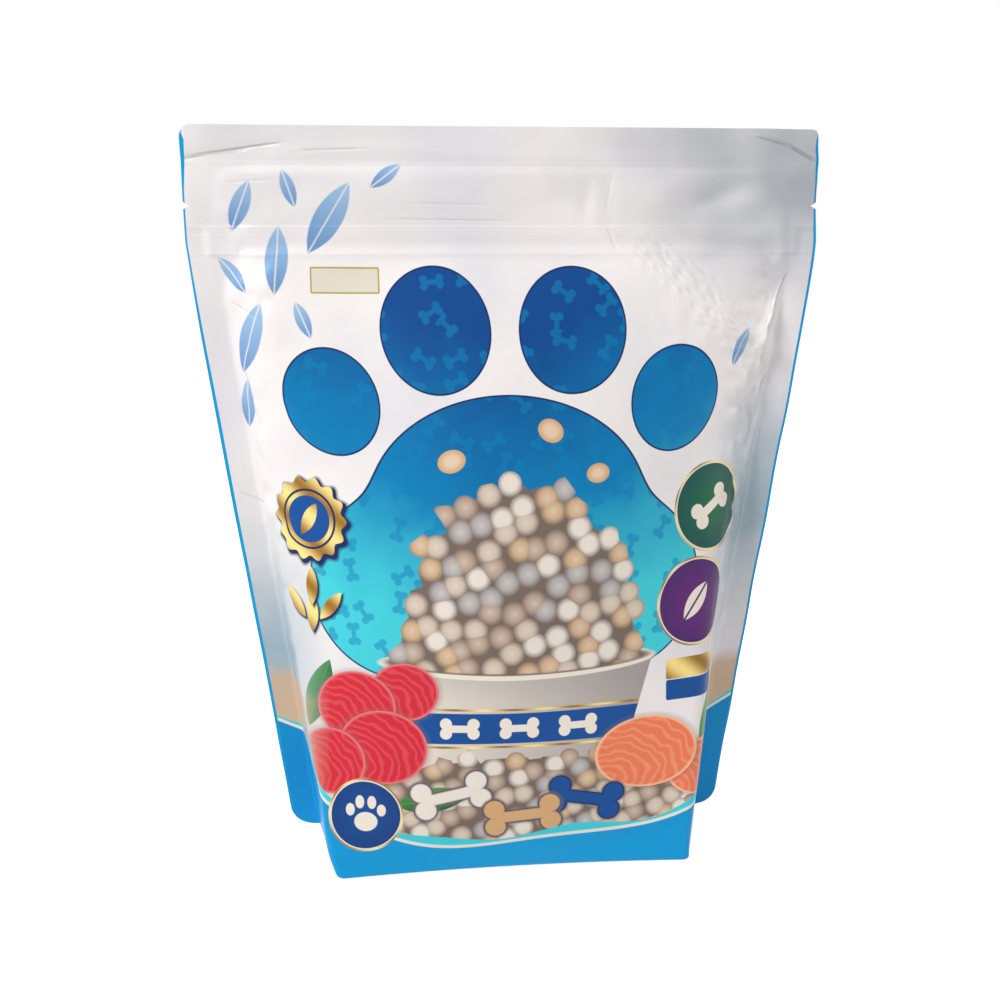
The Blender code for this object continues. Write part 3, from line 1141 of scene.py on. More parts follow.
def mix(nodes: Nodes, mask: Number, low: Shade | Colour, high: Shade | Colour) -> Shade:
    """One colour where a mask is 0 and another where it is 1."""
    node = nodes.add("ShaderNodeMix", {"data_type": "RGBA"}, {0: mask, 6: low, 7: high})
    return Shade(nodes, node.outputs[2])


# The print


PEARL = srgb(238, 233, 231)
PEARL_COOL = srgb(226, 222, 226)
NAVY = srgb(18, 38, 92)
ROYAL = srgb(4, 70, 138)
OCEAN = srgb(0, 124, 180)
TURQUOISE = srgb(66, 206, 218)
BASE_BLUE = srgb(0, 162, 220)
BASE_DEEP = srgb(0, 142, 204)
EDGE_BLUE = srgb(0, 158, 216)
# painted shade towards the upper right, partly also the film's grey print
SHADE_GREY = srgb(150, 160, 168)
SAND = srgb(206, 178, 148)
# the print's misty grey-blue, also painted shade on the side walls
MIST_AND_SHADE = srgb(147, 174, 187)
LEAF_BLUE = srgb(58, 128, 190)
LEAF_PALE = srgb(150, 188, 222)
# the gold's painted sheen runs between these two
GOLD_DARK = srgb(158, 112, 38)
GOLD_LIGHT = srgb(252, 226, 140)
OLIVE_GOLD = srgb(176, 160, 60)
PINK_RED = srgb(212, 40, 58)
PINK_PALE = srgb(232, 118, 122)
SALMON = srgb(238, 124, 86)
SALMON_PALE = srgb(250, 190, 150)
CREAM = srgb(238, 228, 214)
STONE = srgb(158, 150, 148)
PURPLE = srgb(104, 38, 118)
GREEN = srgb(24, 104, 62)
LEAF_GREEN = srgb(84, 148, 70)
MEDAL_BLUE = srgb(16, 78, 150)
KIBBLE_SHADOW = srgb(120, 104, 94)
KIBBLE_TONES = (
    (0.0, srgb(186, 162, 144)),
    (0.22, srgb(212, 194, 176)),
    (0.42, srgb(232, 222, 210)),
    (0.62, srgb(180, 174, 172)),
    (0.8, srgb(210, 176, 140)),
)
BISCUIT = srgb(214, 170, 122)

GROUND_CLOUDS = 60.0  # sizes of the print are in millimetres
# the length of the bands of the gold's painted sheen
GOLD_PAINTED_SHEEN = 21.0
ZONE_MARGIN = 2.0  # how far a soft edge may reach past what it belongs to
RIM = 0.6  # a badge's pale rim
LINE = 0.5
BONE_KNOB = (0.95, 1.15)  # a knob's place and radius, in half thicknesses of its bone
BONE_SHAFT = 0.72
LEAF_VEIN = 0.35
LABEL_LINE = 0.35


class Artwork(ABC):
    """A print built up in fields of colour, from its ground up."""

    def __init__(self, nodes: Nodes, zone: Zone | None = None) -> None:
        """Start with a pearly ground and lay the print on it.

        Args:
            nodes: The nodes of the material that shows the print.
            zone: The band that the material is for. The print draws only what its band can show.
        """
        self.nodes = nodes
        self.zone = zone
        self.place = nodes.film_place()
        self.u, self.v = self.place.parts()
        clouds = nodes.noise(self.place, GROUND_CLOUDS, 1).between(0.4, 0.75)
        self.shade = mix(nodes, clouds, PEARL, PEARL_COOL)
        # painted sheen: the gold runs in slanting light and dark bands that stand for a foil's reflections
        self.gold = mix(nodes, (self.u * 0.8 + self.v).wave(GOLD_PAINTED_SHEEN) * 0.5 + 0.5, GOLD_DARK, GOLD_LIGHT)
        self.draw()

    @abstractmethod
    def draw(self) -> None:
        """Lay the fields of colour."""

    def reaches(self, low: float, high: float) -> bool:
        """Whether what lies between two heights can show in this band.

        Args:
            low: The lower height.
            high: The upper height.

        Returns:
            True also where the print isn't laid in bands.
        """
        if self.zone is None:
            return True
        return low < self.zone.value[1] + ZONE_MARGIN and high > self.zone.value[0] - ZONE_MARGIN

    def paint(self, mask: Number, colour: Shade | Colour) -> None:
        """Lay a colour over what is there."""
        self.shade = self.shade.under(mask, colour)

    def oval(self, at: Spot, radii: Spot, turn: float = 0.0, place: Place | None = None) -> Number:
        """Distance to an oval."""
        seen = (place or self.place).seen_from(at, turn, radii)
        return (seen.length() - 1) * min(radii)

    def box(self, at: Spot, half: Spot, rounding: float) -> Number:
        """Distance to a box with rounded corners."""
        seen = abs(self.place.seen_from(at)) - (half[0] - rounding, half[1] - rounding, 0.0)
        return self.nodes.vector("MAXIMUM", seen, (0.0, 0.0, 0.0)).length() - rounding

    def leaf(self, at: Spot, half: Spot, turn: float) -> tuple[Number, Place]:
        """A pointed leaf between two arcs.

        Args:
            at: Its middle.
            half: Half its length and half its width.
            turn: How far it is turned, in degrees.

        Returns:
            The distance to it, and the place as the leaf has it, with x along it.
        """
        seen = self.place.seen_from(at, turn)
        radius = (half[0] ** 2 + half[1] ** 2) / (2 * half[1])
        bulge = abs(seen) + (0.0, radius - half[1], 0.0)
        return bulge.length() - radius, seen

    def bone(self, seen: Place, half: Spot) -> Number:
        """A bone with two knobs at each end.

        Args:
            seen: The place as the bone has it, with x along it.
            half: Half its length, to the knobs' middles, and half its thickness.

        Returns:
            The distance to it.
        """
        x, y = abs(seen).parts()
        knob = (abs(seen) - (half[0], half[1] * BONE_KNOB[0], 0.0)).length() - half[1] * BONE_KNOB[1]
        return knob.or_less((x - half[0]).or_more(y - half[1] * BONE_SHAFT))

    def draw_base_wave(self) -> None:
        """The blue field round the base, with a cream line and a turquoise crest."""
        level = self.u * self.u * 0.0026 + 13 + self.u.wave(118, 0.8) * 3.2
        crest = self.v - level
        self.paint((crest - 4.2 + self.u.wave(64, 2.0) * 1.6).inside(0.4), TURQUOISE)
        self.paint((crest - 1.6).inside(0.3), CREAM)
        deep = (self.v + abs(self.u) * 0.5).between(10, 95)
        self.paint(crest.inside(0.3), mix(self.nodes, deep, BASE_BLUE, BASE_DEEP))


# Loose leaves: middles, half lengths with half widths, and turns in degrees
LEAVES = (
    ((-112, 290), (11, 3.9), 68),
    ((-92, 297), (8, 2.9), 108),
    ((-76, 285), (17, 5.8), 58),
    ((-117, 262), (9, 3.2), 128),
    ((-98, 268), (14, 4.8), 84),
    ((-112, 236), (16, 5.4), 66),
    ((-88, 244), (8, 3.0), 112),
    ((-119, 208), (11, 3.8), 78),
    ((-52, 302), (8, 2.8), 36),
    ((102, 231), (9, 3.2), 66),
)

# The paw-shaped window: the ovals of its pad, and its toes as they lie right of its middle line
PAW_MIDDLE = -4
PAD_OVALS = (((-4, 166), (60, 48)), ((-48, 134), (44, 40)), ((40, 134), (42, 39)))
PAD_BLEND = 14
TOES = (((74, 211), (19.5, 22), -28), ((29, 240), (22.5, 25), -10))
TOE_REACH = 25
WATER_CLOUDS = 34
SMALL_BONE = (3.41, 1.43)

# Kibble: its rows' turn in degrees, how uneven they are, and sizes as shares of a piece's
KIBBLE_TURN = 24.0
KIBBLE_UNEVENNESS = 0.6
PIECE_LIT = 0.3
PIECE_DARK = (0.33, 0.62)
PIECE_RADIUS = 0.52
HEAP_INSET = 0.35
FALLING_PIECES = (((-28, 188), (6, 4.6), 20), ((14, 200), (5.6, 4.6), -30), ((34, 182), (5, 4), 10))

# The bowl: heights and half widths
BOWL_FOOT = 45
BOWL_FLARE = 0.3
BOWL_MIDDLE = 76
BOWL_HALF_HEIGHT = 25
BOWL_MOUTH = 101.4
BAND_HEIGHT = 72
BAND_HALF = 7
BAND_LINES = 8.6
BAND_BONES = (-26, 0, 26)

# The food along the bottom
FOOD_LEAVES = (((-90, 84), 70), ((90, 66), 75), ((-38, 38), 10))
RED_SLICES = (((-50, 88), (15, 13)), ((-72, 80), (18, 16)), ((-60, 62), (20, 17)), ((-84, 54), (16, 15)))
SALMON_SLICES = (((84, 46), (16, 13)), ((58, 56), (24, 17)))
BONES = (((-30, 40), 14, CREAM), ((30, 36), -12, MEDAL_BLUE), ((2, 29), 5, BISCUIT))

# Badges, the rosette and the sprig under it
BADGES = (
    ((82, 122), 18.5, PURPLE, Icon.LEAF),
    ((90, 163), 18.5, GREEN, Icon.BONE),
    ((-68, 30), 15.5, MEDAL_BLUE, Icon.PAW),
)
MEDAL_AT = (-92, 161)
MEDAL_RADIUS = 17
MEDAL_SCALLOPS = 14
SCALLOP_HEIGHT = 1.1
SPRIG_LEAVES = (((-101, 124), 130), ((-92, 120), 90), ((-83, 124), 50), ((-92, 132), 90))
SPRIG_SHADOW = 0.8


class FrontPrint(Artwork):
    """The front: a paw-shaped blue window, a heaped bowl, food round it, badges and plain labels."""

    def draw(self) -> None:
        """Lay all the fields of the front that its band shows."""
        self.draw_painted_shade()
        self.draw_leaves()
        if self.reaches(90, 266):
            self.draw_window()
        if self.reaches(50, 108):
            self.draw_bowl()
        if self.reaches(94, 208):
            self.draw_heap()
        if self.reaches(0, 106):
            self.draw_food()
        if self.reaches(0, 260):
            self.draw_sides()
        if self.reaches(0, 80):
            self.draw_base_wave()
        self.draw_badges()
        self.draw_medal()
        self.draw_labels()

    def draw_painted_shade(self) -> None:
        """Painted shade, partly also the film's grey print: the ground turns grey towards the upper right,
        where the film leans from the light.
        """
        if self.reaches(225, FILM_HEIGHT):
            near = self.place.seen_from((146, 299), -8, (128, 58)).length()
            reach = near + self.nodes.noise(self.place, 24, 1) * 0.4
            # painted shade: grey laid over the upper right, strongest near its middle
            self.paint(reach.between(1.2, 0.4) * 0.74, SHADE_GREY)

    def draw_leaves(self) -> None:
        """Loose blue leaves across the top and down the sides."""
        for at, half, turn in LEAVES:
            if not self.reaches(at[1] - half[0], at[1] + half[0]):
                continue
            distance, seen = self.leaf(at, half, turn)
            along, across = seen.parts()
            tone = mix(self.nodes, along.between(-half[0], half[0]), LEAF_BLUE, LEAF_PALE)
            self.paint(distance.inside(0.5) * 0.9, tone)
            self.paint((abs(across) - LEAF_VEIN).or_more(distance).inside(0.4) * 0.7, PEARL)

    def draw_window(self) -> None:
        """The window, shaped like a paw, as blue as deep water above and turquoise below."""
        paw = self.oval(*PAD_OVALS[0])
        for at, radii in PAD_OVALS[1:]:
            paw = paw.blended(self.oval(at, radii), PAD_BLEND)
        for (across, height), radii, turn in TOES:
            for side in (-1, 1):
                if self.reaches(height - TOE_REACH, height + TOE_REACH):
                    paw = paw.or_less(self.oval((side * across + PAW_MIDDLE, height), radii, turn * side))
        cloud = self.nodes.noise(self.place, WATER_CLOUDS, 2, 0.6)
        depth = self.v - abs(self.u - 2 * PAW_MIDDLE) * 0.5 + cloud * WATER_CLOUDS
        water = mix(self.nodes, depth.between(112, 176), TURQUOISE, OCEAN)
        water = water.under(depth.between(180, 246), ROYAL)
        self.paint((paw - 0.7).inside(), NAVY)
        self.paint(paw.inside(), water)
        self.paint(self.scattered_bones(15.0).inside(0.5) * paw.inside() * 0.55, OCEAN)

    def scattered_bones(self, spacing: float) -> Number:
        """Small bones strewn all over, each turned its own way.

        Args:
            spacing: How far apart they lie, about.

        Returns:
            The distance to the nearest.
        """
        cells = self.nodes.cells(self.place, spacing, 0.75)
        tint = Place(self.nodes, cells.outputs["Color"])
        angle = tint.parts()[0] * (2 * math.pi)
        away = self.place - Place(self.nodes, cells.outputs["Position"])
        inputs = {"Vector": away, "Angle": angle}
        turned = self.nodes.add("ShaderNodeVectorRotate", {"rotation_type": "Z_AXIS"}, inputs)
        return self.bone(Place(self.nodes, turned.outputs[0]), SMALL_BONE)

    def kibble(self, size: float, at: Spot, radii: Spot) -> tuple[Number, Shade]:
        """Kibble that fills an oval, in whole pieces.

        Args:
            size: How far apart the pieces' middles are, about.
            at: The oval's middle.
            radii: The oval's half width and half height.

        Returns:
            1 where the kibble is, and its colours: each piece is lit at its middle and dark round its edge.
        """
        cells = self.nodes.cells(self.place.seen_from((0, 0), KIBBLE_TURN), size, KIBBLE_UNEVENNESS)
        away = Number(self.nodes, cells.outputs["Distance"])
        tint = Place(self.nodes, cells.outputs["Color"]).parts()[0]
        ramp = self.nodes.add("ShaderNodeValToRGB", {"stops": KIBBLE_TONES}, {0: tint})
        ramp.color_ramp.interpolation = "CONSTANT"
        lit = Shade(self.nodes, ramp.outputs[0]).under(away.between(*PIECE_DARK), KIBBLE_SHADOW)
        lit = lit.under(away.between(PIECE_LIT, 0.0) * 0.4, CREAM)
        middle = Place(self.nodes, cells.outputs["Position"]).seen_from((0, 0), -KIBBLE_TURN)
        whole = self.oval(at, radii, place=middle).inside(0.05)
        within = (self.oval(at, radii) + size * HEAP_INSET).inside(0.6)
        return whole * within.or_more((away - PIECE_RADIUS).inside(0.06)), lit

    def draw_heap(self) -> None:
        """The heap of kibble in the bowl, and a few pieces that fall on it."""
        heap, lit = self.kibble(9.5, (0, 100), (55, 83))
        opening = self.oval((0, BOWL_MOUTH), (56, 4.4)).inside(0.8)
        self.paint((heap * (BOWL_MOUTH - self.v).inside(0.5)).or_more(opening), lit)
        for at, radii, turn in FALLING_PIECES:
            if self.reaches(at[1] - radii[0], at[1] + radii[0]):
                piece = self.oval(at, radii, turn)
                self.paint(piece.inside(), BISCUIT)
                self.paint((piece + 1.6).inside(2.0) * 0.5, CREAM)

    def draw_bowl(self) -> None:
        """A stoneware bowl with a band round it, and its open rim."""
        taper = abs(self.u) - (self.v - 50) * BOWL_FLARE - BOWL_FOOT
        body = taper.or_more(abs(self.v - BOWL_MIDDLE) - BOWL_HALF_HEIGHT)
        tone = mix(self.nodes, self.u.between(-64, 64), CREAM, STONE)
        under_rim = (self.v + self.u * self.u * 0.001).between(84, 98)
        self.paint(body.inside(0.4), tone.under(under_rim * 0.4, STONE))
        from_band = abs(self.v - BAND_HEIGHT)
        self.paint(body.or_more(from_band - BAND_HALF).inside(0.3), MEDAL_BLUE)
        self.paint(body.or_more(abs(from_band - BAND_LINES) - LINE).inside(0.3), self.gold)
        for across in BAND_BONES:
            self.paint(self.bone(self.place.seen_from((across, BAND_HEIGHT)), (6.0, 2.3)).inside(), CREAM)
        self.paint(self.oval((0, 101), (61.5, 7)).inside(0.3), CREAM)
        self.paint(self.oval((0, BOWL_MOUTH), (58.5, 5.2)).inside(0.5), KIBBLE_SHADOW)

    def draw_food(self) -> None:
        """Spilt kibble, slices, leaves and biscuits along the bottom."""
        self.paint(*self.kibble(8.5, (2, 36), (84, 25)))
        for at, turn in FOOD_LEAVES:
            distance, seen = self.leaf(at, (17, 6), turn)
            across = seen.parts()[1]
            self.paint(distance.inside(), mix(self.nodes, across.between(-5, 5), GREEN, LEAF_GREEN))
            self.paint((abs(across) - 0.3).or_more(distance).inside(), LEAF_GREEN)
        marbled = self.nodes.noise(self.place, 9, 1) * 5
        for at, radii in RED_SLICES:
            self.draw_slice(at, radii, marbled, PINK_RED, PINK_PALE)
        for at, radii in SALMON_SLICES:
            self.draw_slice(at, radii, marbled, SALMON, SALMON_PALE)
        for at, turn, tone in BONES:
            bone = self.bone(self.place.seen_from(at, turn), (12.5, 4.6))
            self.paint((bone - LINE).inside(1.6), KIBBLE_SHADOW)
            self.paint(bone.inside(), mix(self.nodes, bone.between(-0.1, -1.1), NAVY, tone))

    def draw_slice(self, at: Spot, radii: Spot, marbled: Number, tone: Colour, pale: Colour) -> None:
        """A round slice with a pale rim and faint curved grain, on a soft shadow.

        Args:
            at: Its middle.
            radii: Its half width and half height.
            marbled: How far its grain is shifted at each place.
            tone: Its colour.
            pale: The colour of its rim and its grain.
        """
        edge = self.oval(at, radii)
        self.paint((edge - 0.6).inside(3.2) * 0.55, KIBBLE_SHADOW)
        self.paint(edge.inside(), pale)
        centre = self.oval((at[0] - radii[0] * 0.7, at[1] - radii[1] * 0.6), radii)
        grain = (centre + marbled).wave(3.4).between(0.0, 1.0) * 0.32
        self.paint((edge + 0.9).inside(0.9), mix(self.nodes, grain, tone, pale))

    def draw_sides(self) -> None:
        """The sandy and misty fields beside the base. The mist is partly print and partly painted shade on
        the side walls, lying higher on the right.
        """
        side = abs(self.u).between(84, 112)
        cloud = self.nodes.noise(self.place, 16, 1)
        level = self.v - self.u * 0.25 + cloud * 16
        # partly print, partly painted shade: grey-blue over the side walls, lying higher on the right
        self.paint(side * level.between(205, 135) * level.between(70, 125) * 0.85, MIST_AND_SHADE)
        self.paint(side * (self.v + cloud * 9).between(92, 84) * 0.9, SAND)

    def draw_badges(self) -> None:
        """Round badges with gold rims: two one above the other on the right, and one low on the left."""
        for at, radius, tone, icon in BADGES:
            if not self.reaches(at[1] - radius, at[1] + radius):
                continue
            disc = self.oval(at, (radius, radius))
            self.paint((disc - 1.4).inside(), self.gold)
            self.paint((disc - RIM).inside(), CREAM)
            darker = (disc + radius).between(0, radius) * 0.45
            self.paint(disc.inside(), mix(self.nodes, darker, tone, NAVY))
            self.paint(self.icon(icon, at).inside(), CREAM)

    def icon(self, icon: Icon, at: Spot) -> Number:
        """A badge's plain picture.

        Args:
            icon: Which picture.
            at: The badge's middle.

        Returns:
            The distance to the picture.
        """
        if icon is Icon.LEAF:
            distance, seen = self.leaf(at, (10, 4.2), 52)
            return distance.or_more(LINE - abs(seen.parts()[1]))
        if icon is Icon.BONE:
            return self.bone(self.place.seen_from(at, 32), (7.5, 2.9))
        paw = self.oval((at[0], at[1] - 3), (5.2, 4.4))
        for side in (-1, 1):
            paw = paw.or_less(self.oval((at[0] + side * 7, at[1] + 2.4), (2.0, 2.8)))
            paw = paw.or_less(self.oval((at[0] + side * 2.7, at[1] + 6), (2.0, 3.0)))
        return paw

    def draw_medal(self) -> None:
        """A gold rosette with a navy shadow, and a gold sprig under it."""
        if self.reaches(142, 180):
            for at, grown, tone in (((-91, 160), 1.6, NAVY), (MEDAL_AT, 0.0, None)):
                seen = self.place.seen_from(at)
                x, y = seen.parts()
                turned = self.nodes.math("ARCTAN2", y, x)
                scallop = self.nodes.math("COSINE", turned * MEDAL_SCALLOPS) * SCALLOP_HEIGHT
                edge = seen.length() - scallop - MEDAL_RADIUS - grown
                self.paint(edge.inside(0.3 + grown), tone or self.gold)
            ring = self.oval(MEDAL_AT, (12.5, 12.5))
            self.paint((abs(ring) - LINE).inside(), NAVY)
            self.paint((ring + 2.4).inside(), MEDAL_BLUE)
            self.paint(self.leaf(MEDAL_AT, (8, 3), 60)[0].inside(), self.gold)
        if self.reaches(110, 140):
            for at, turn in SPRIG_LEAVES:
                shadow = (at[0] + SPRIG_SHADOW, at[1] - SPRIG_SHADOW)
                self.paint(self.leaf(shadow, (9, 3.2), turn)[0].inside(1.2), NAVY)
                self.paint(self.leaf(at, (8.4, 2.8), turn)[0].inside(), self.gold)

    def draw_labels(self) -> None:
        """Plain labels: two short bars, and an empty box in a thin gold line."""
        if self.reaches(78, 98):
            self.paint(self.box((82, 93), (15, 4.6), 1.0).inside(), self.gold)
            self.paint(self.box((82, 83.4), (15, 4.6), 1.0).inside(), MEDAL_BLUE)
        if self.reaches(254, 266):
            frame = self.box((-70, 260), (14, 5), 0.4)
            self.paint(frame.inside(), PEARL)
            self.paint((abs(frame) - LABEL_LINE).inside(), OLIVE_GOLD)


# The back's bare panel and its three discs
PANEL_AT = (0, 122)
PANEL_HALF = (72, 66)
DISCS = (((-44, 148), SALMON), ((-44, 112), GREEN), ((-44, 78), MEDAL_BLUE))


class BackPrint(Artwork):
    """The back: plain fields of blue round a bare panel."""

    def draw(self) -> None:
        """Lay the fields of the back."""
        field_edge = self.v - 212 - self.u.wave(210, 1.4) * 12
        tone = mix(self.nodes, self.v.between(60, 215), BASE_DEEP, TURQUOISE)
        self.paint((field_edge - 3).inside(0.4), CREAM)
        self.paint(field_edge.inside(0.4), tone)
        self.draw_base_wave()
        panel = self.box(PANEL_AT, PANEL_HALF, 5)
        self.paint((panel - 0.8).inside(), OLIVE_GOLD)
        self.paint(panel.inside(), CREAM)
        lines = self.v.wave(11, 0.6).between(0.93, 0.97)
        table = self.box((26, 112), (38, 46), 1)
        self.paint(lines * table.inside(), STONE)
        self.paint((abs(table) - 0.3).inside(), STONE)
        for at, tone in DISCS:
            self.paint(self.oval(at, (13, 13)).inside(), tone)
            self.paint(self.bone(self.place.seen_from(at, 24), (6.5, 2.5)).inside(), CREAM)


class GussetPrint(Artwork):
    """The underside: blue all over, a little darker along its fold."""

    def draw(self) -> None:
        """Lay the field of the underside."""
        fold = abs(self.v - FILM_HEIGHT / 2).between(0, 14)
        self.paint(self.v.between(-1, 0), mix(self.nodes, fold, BASE_DEEP, BASE_BLUE))


class InsidePrint(Artwork):
    """The film's inner side: pearl, and the printed edge's blue where it shows past the other sheet."""

    def draw(self) -> None:
        """Lay the edge's blue."""
        self.paint((129.5 - abs(self.u)).inside(0.3), EDGE_BLUE)


# The film's finish

# Lines pressed into the film by its seals and its zipper: heights, and how far each stands out
PRESSED_LINES = ((307.0, 0.14), (281.3, 0.22), (279.0, -0.16), (270.5, 0.16), (268.6, -0.12))
PRESSED_HALF_WIDTH = 0.5
CREASE_HALF_WIDTH = 0.9
CREASE_FULL_SHARE = 0.55  # of a crease's length that has its whole height

# Where kibble pecks the film from inside: patches' middles, turns in degrees, and half sizes
PECKED_PATCHES = (((76, 259), -39, (38, 11)), ((93, 238), -28, (18, 9)))
PECK_SIZE = (7.0, 3.4)


@dataclass(frozen=True)
class FilmFinish:
    """Satin film: how it shines and how its surface is pressed."""

    name: str
    artwork: type[Artwork]
    metallic: float = 0.1
    roughness: float = 0.38
    roughness_swing: float = 0.06
    gloss_clouds: float = 22.0
    gloss: float = 0.17
    coat: float = 0.04
    coat_roughness: float = 0.2
    grain_size: float = 1.1
    grain_height: float = 0.02
    crumple_size: float = 10.0
    crumple_height: float = 0.2
    line_height: float = 0.64
    crease_height: float = 1.5
    peck_height: float = 0.36
    creases: tuple[tuple[Spot, Spot, float], ...] = ()

    def material(self, zone: Zone | None = None) -> bpy.types.Material:
        """Make the film's material.

        Args:
            zone: The band that it is for, where the print is laid in bands.

        Returns:
            The material of the whole film or of that band.
        """
        material = bpy.data.materials.new(self.name if zone is None else f"{self.name}_{zone.name.lower()}")
        material.use_nodes = True
        nodes = Nodes(material.node_tree)
        artwork = self.artwork(nodes, zone)
        uneven = nodes.noise(artwork.place, self.gloss_clouds, 1) * (2 * self.roughness_swing)
        inputs = {
            "Base Color": artwork.shade,
            "Metallic": self.metallic,
            "Roughness": uneven + (self.roughness - self.roughness_swing),
            "Specular IOR Level": self.gloss,
            "Coat Weight": self.coat,
            "Coat Roughness": self.coat_roughness,
            "Normal": self.pressed(nodes, artwork),
        }
        shader = nodes.add("ShaderNodeBsdfPrincipled", None, inputs)
        nodes.add("ShaderNodeOutputMaterial", None, {"Surface": shader.outputs[0]})
        return material

    def pressed(self, nodes: Nodes, artwork: Artwork) -> bpy.types.NodeSocket:
        """The film's fine relief: grain, slight crumpling, seal and zipper lines, and sharp creases.

        Args:
            nodes: The material's nodes.
            artwork: The print, which has the film places and the band.

        Returns:
            The normal's socket.
        """
        place, v = artwork.place, artwork.v
        relief = nodes.noise(place, self.grain_size, 0) * self.grain_height
        relief = relief + nodes.noise(place, self.crumple_size, 1, 0.45) * self.crumple_height
        for level, height in PRESSED_LINES:
            if artwork.reaches(level - 1, level + 1):
                line = (abs(v - level) - PRESSED_HALF_WIDTH).inside(1.1)
                relief = relief + line * (height * self.line_height)
        for start, end, height in self.creases:
            if artwork.reaches(min(start[1], end[1]), max(start[1], end[1])):
                relief = relief + self.crease(nodes, place, start, end) * (height * self.crease_height)
        if self.creases and artwork.reaches(228, 288):
            for at, turn, half in PECKED_PATCHES:
                relief = relief + self.pecks(nodes, place, at, turn, half)
        bump = nodes.add("ShaderNodeBump", None, {"Strength": 1.0, "Distance": MM, "Height": relief})
        return bump.outputs[0]

    def pecks(self, nodes: Nodes, place: Place, at: Spot, turn: float, half: Spot) -> Number:
        """Small slanting dents in an oval patch, where the kibble presses the film from inside.

        Args:
            nodes: The material's nodes.
            place: The film place.
            at: The patch's middle.
            turn: How far the patch is turned, in degrees.
            half: Its half length and half width.

        Returns:
            The relief's height in millimetres.
        """
        cells = nodes.cells(place.seen_from(at, turn, PECK_SIZE), 1.0, 0.85)
        patch = place.seen_from(at, turn, half).length().between(1.0, 0.55)
        return Number(nodes, cells.outputs["Distance"]).between(0.08, 0.45) * patch * self.peck_height

    def crease(self, nodes: Nodes, place: Place, start: Spot, end: Spot) -> Number:
        """A straight sharp crease.

        Args:
            nodes: The material's nodes.
            place: The film place.
            start: One end of the crease.
            end: Its other end.

        Returns:
            1 along the crease, and 0 away from it.
        """
        middle = ((start[0] + end[0]) / 2, (start[1] + end[1]) / 2)
        half = math.hypot(end[0] - start[0], end[1] - start[1]) / 2
        turn = math.degrees(math.atan2(end[1] - start[1], end[0] - start[0]))
        x, y = abs(place.seen_from(middle, turn)).parts()
        beside = nodes.math("MULTIPLY_ADD", y, -1 / CREASE_HALF_WIDTH, 1.0, clamp=True)
        return beside * x.between(half, half * CREASE_FULL_SHARE)


# Sharp creases of the front: their two ends, and how far each stands out
FRONT_CREASES = (
    ((-136, 308.0), (-106, 312.6), -0.55),
    ((-134, 309.2), (-92, 315.2), -0.45),
    ((-90, 311.8), (-58, 312.8), -0.22),
    ((-120, 299.0), (-96, 300.5), -0.12),
    ((-46, 291.0), (-4, 290.2), -0.12),
    ((-56, 284.6), (6, 283.6), -0.16),
    ((104, 319.6), (122, 315.2), 0.4),
    ((119, 316.2), (134, 308.6), 0.5),
    ((41, 283.0), (46, 271.0), -0.16),
    ((44, 306.0), (41, 286.0), -0.08),
    ((123.6, 263.0), (116.5, 244.5), 0.4),
    ((117.0, 246.0), (112.6, 235.0), 0.35),
    ((114.0, 232.0), (115.6, 221.0), -0.3),
    ((121.5, 217.5), (118.0, 209.0), -0.3),
    ((-131, 168.5), (-119, 162.5), -0.25),
    ((117.0, 204.0), (114.0, 184.0), 0.24),
    ((121.0, 196.0), (119.0, 172.0), -0.22),
    ((114.5, 176.0), (118.0, 158.0), -0.22),
    ((120.0, 160.0), (116.5, 138.0), 0.22),
    ((-118.0, 226.0), (-115.0, 202.0), -0.2),
    ((-121.0, 146.0), (-114.0, 122.0), 0.24),
    ((-113.0, 128.0), (-108.0, 104.0), -0.22),
    ((-122.0, 252.0), (-106.0, 244.0), -0.18),
)


# The studio


@dataclass(frozen=True)
class Lamp:
    """A soft square lamp that looks at the pouch."""

    name: str
    at: tuple[float, float, float]
    size: float
    power: float
    tint: Colour = (1.0, 1.0, 1.0)
    aim: tuple[float, float, float] = (0.0, 0.0, 0.16)

    def build(self) -> None:
        """Hang the lamp."""
        light = bpy.data.lights.new(self.name, "AREA")
        light.shape = "SQUARE"
        light.size = self.size
        light.energy = self.power
        light.color = self.tint
        lamp = bpy.data.objects.new(self.name, light)
        lamp.location = self.at
        lamp.rotation_euler = (Vector(self.aim) - Vector(self.at)).to_track_quat("-Z", "Y").to_euler()
        bpy.context.scene.collection.objects.link(lamp)


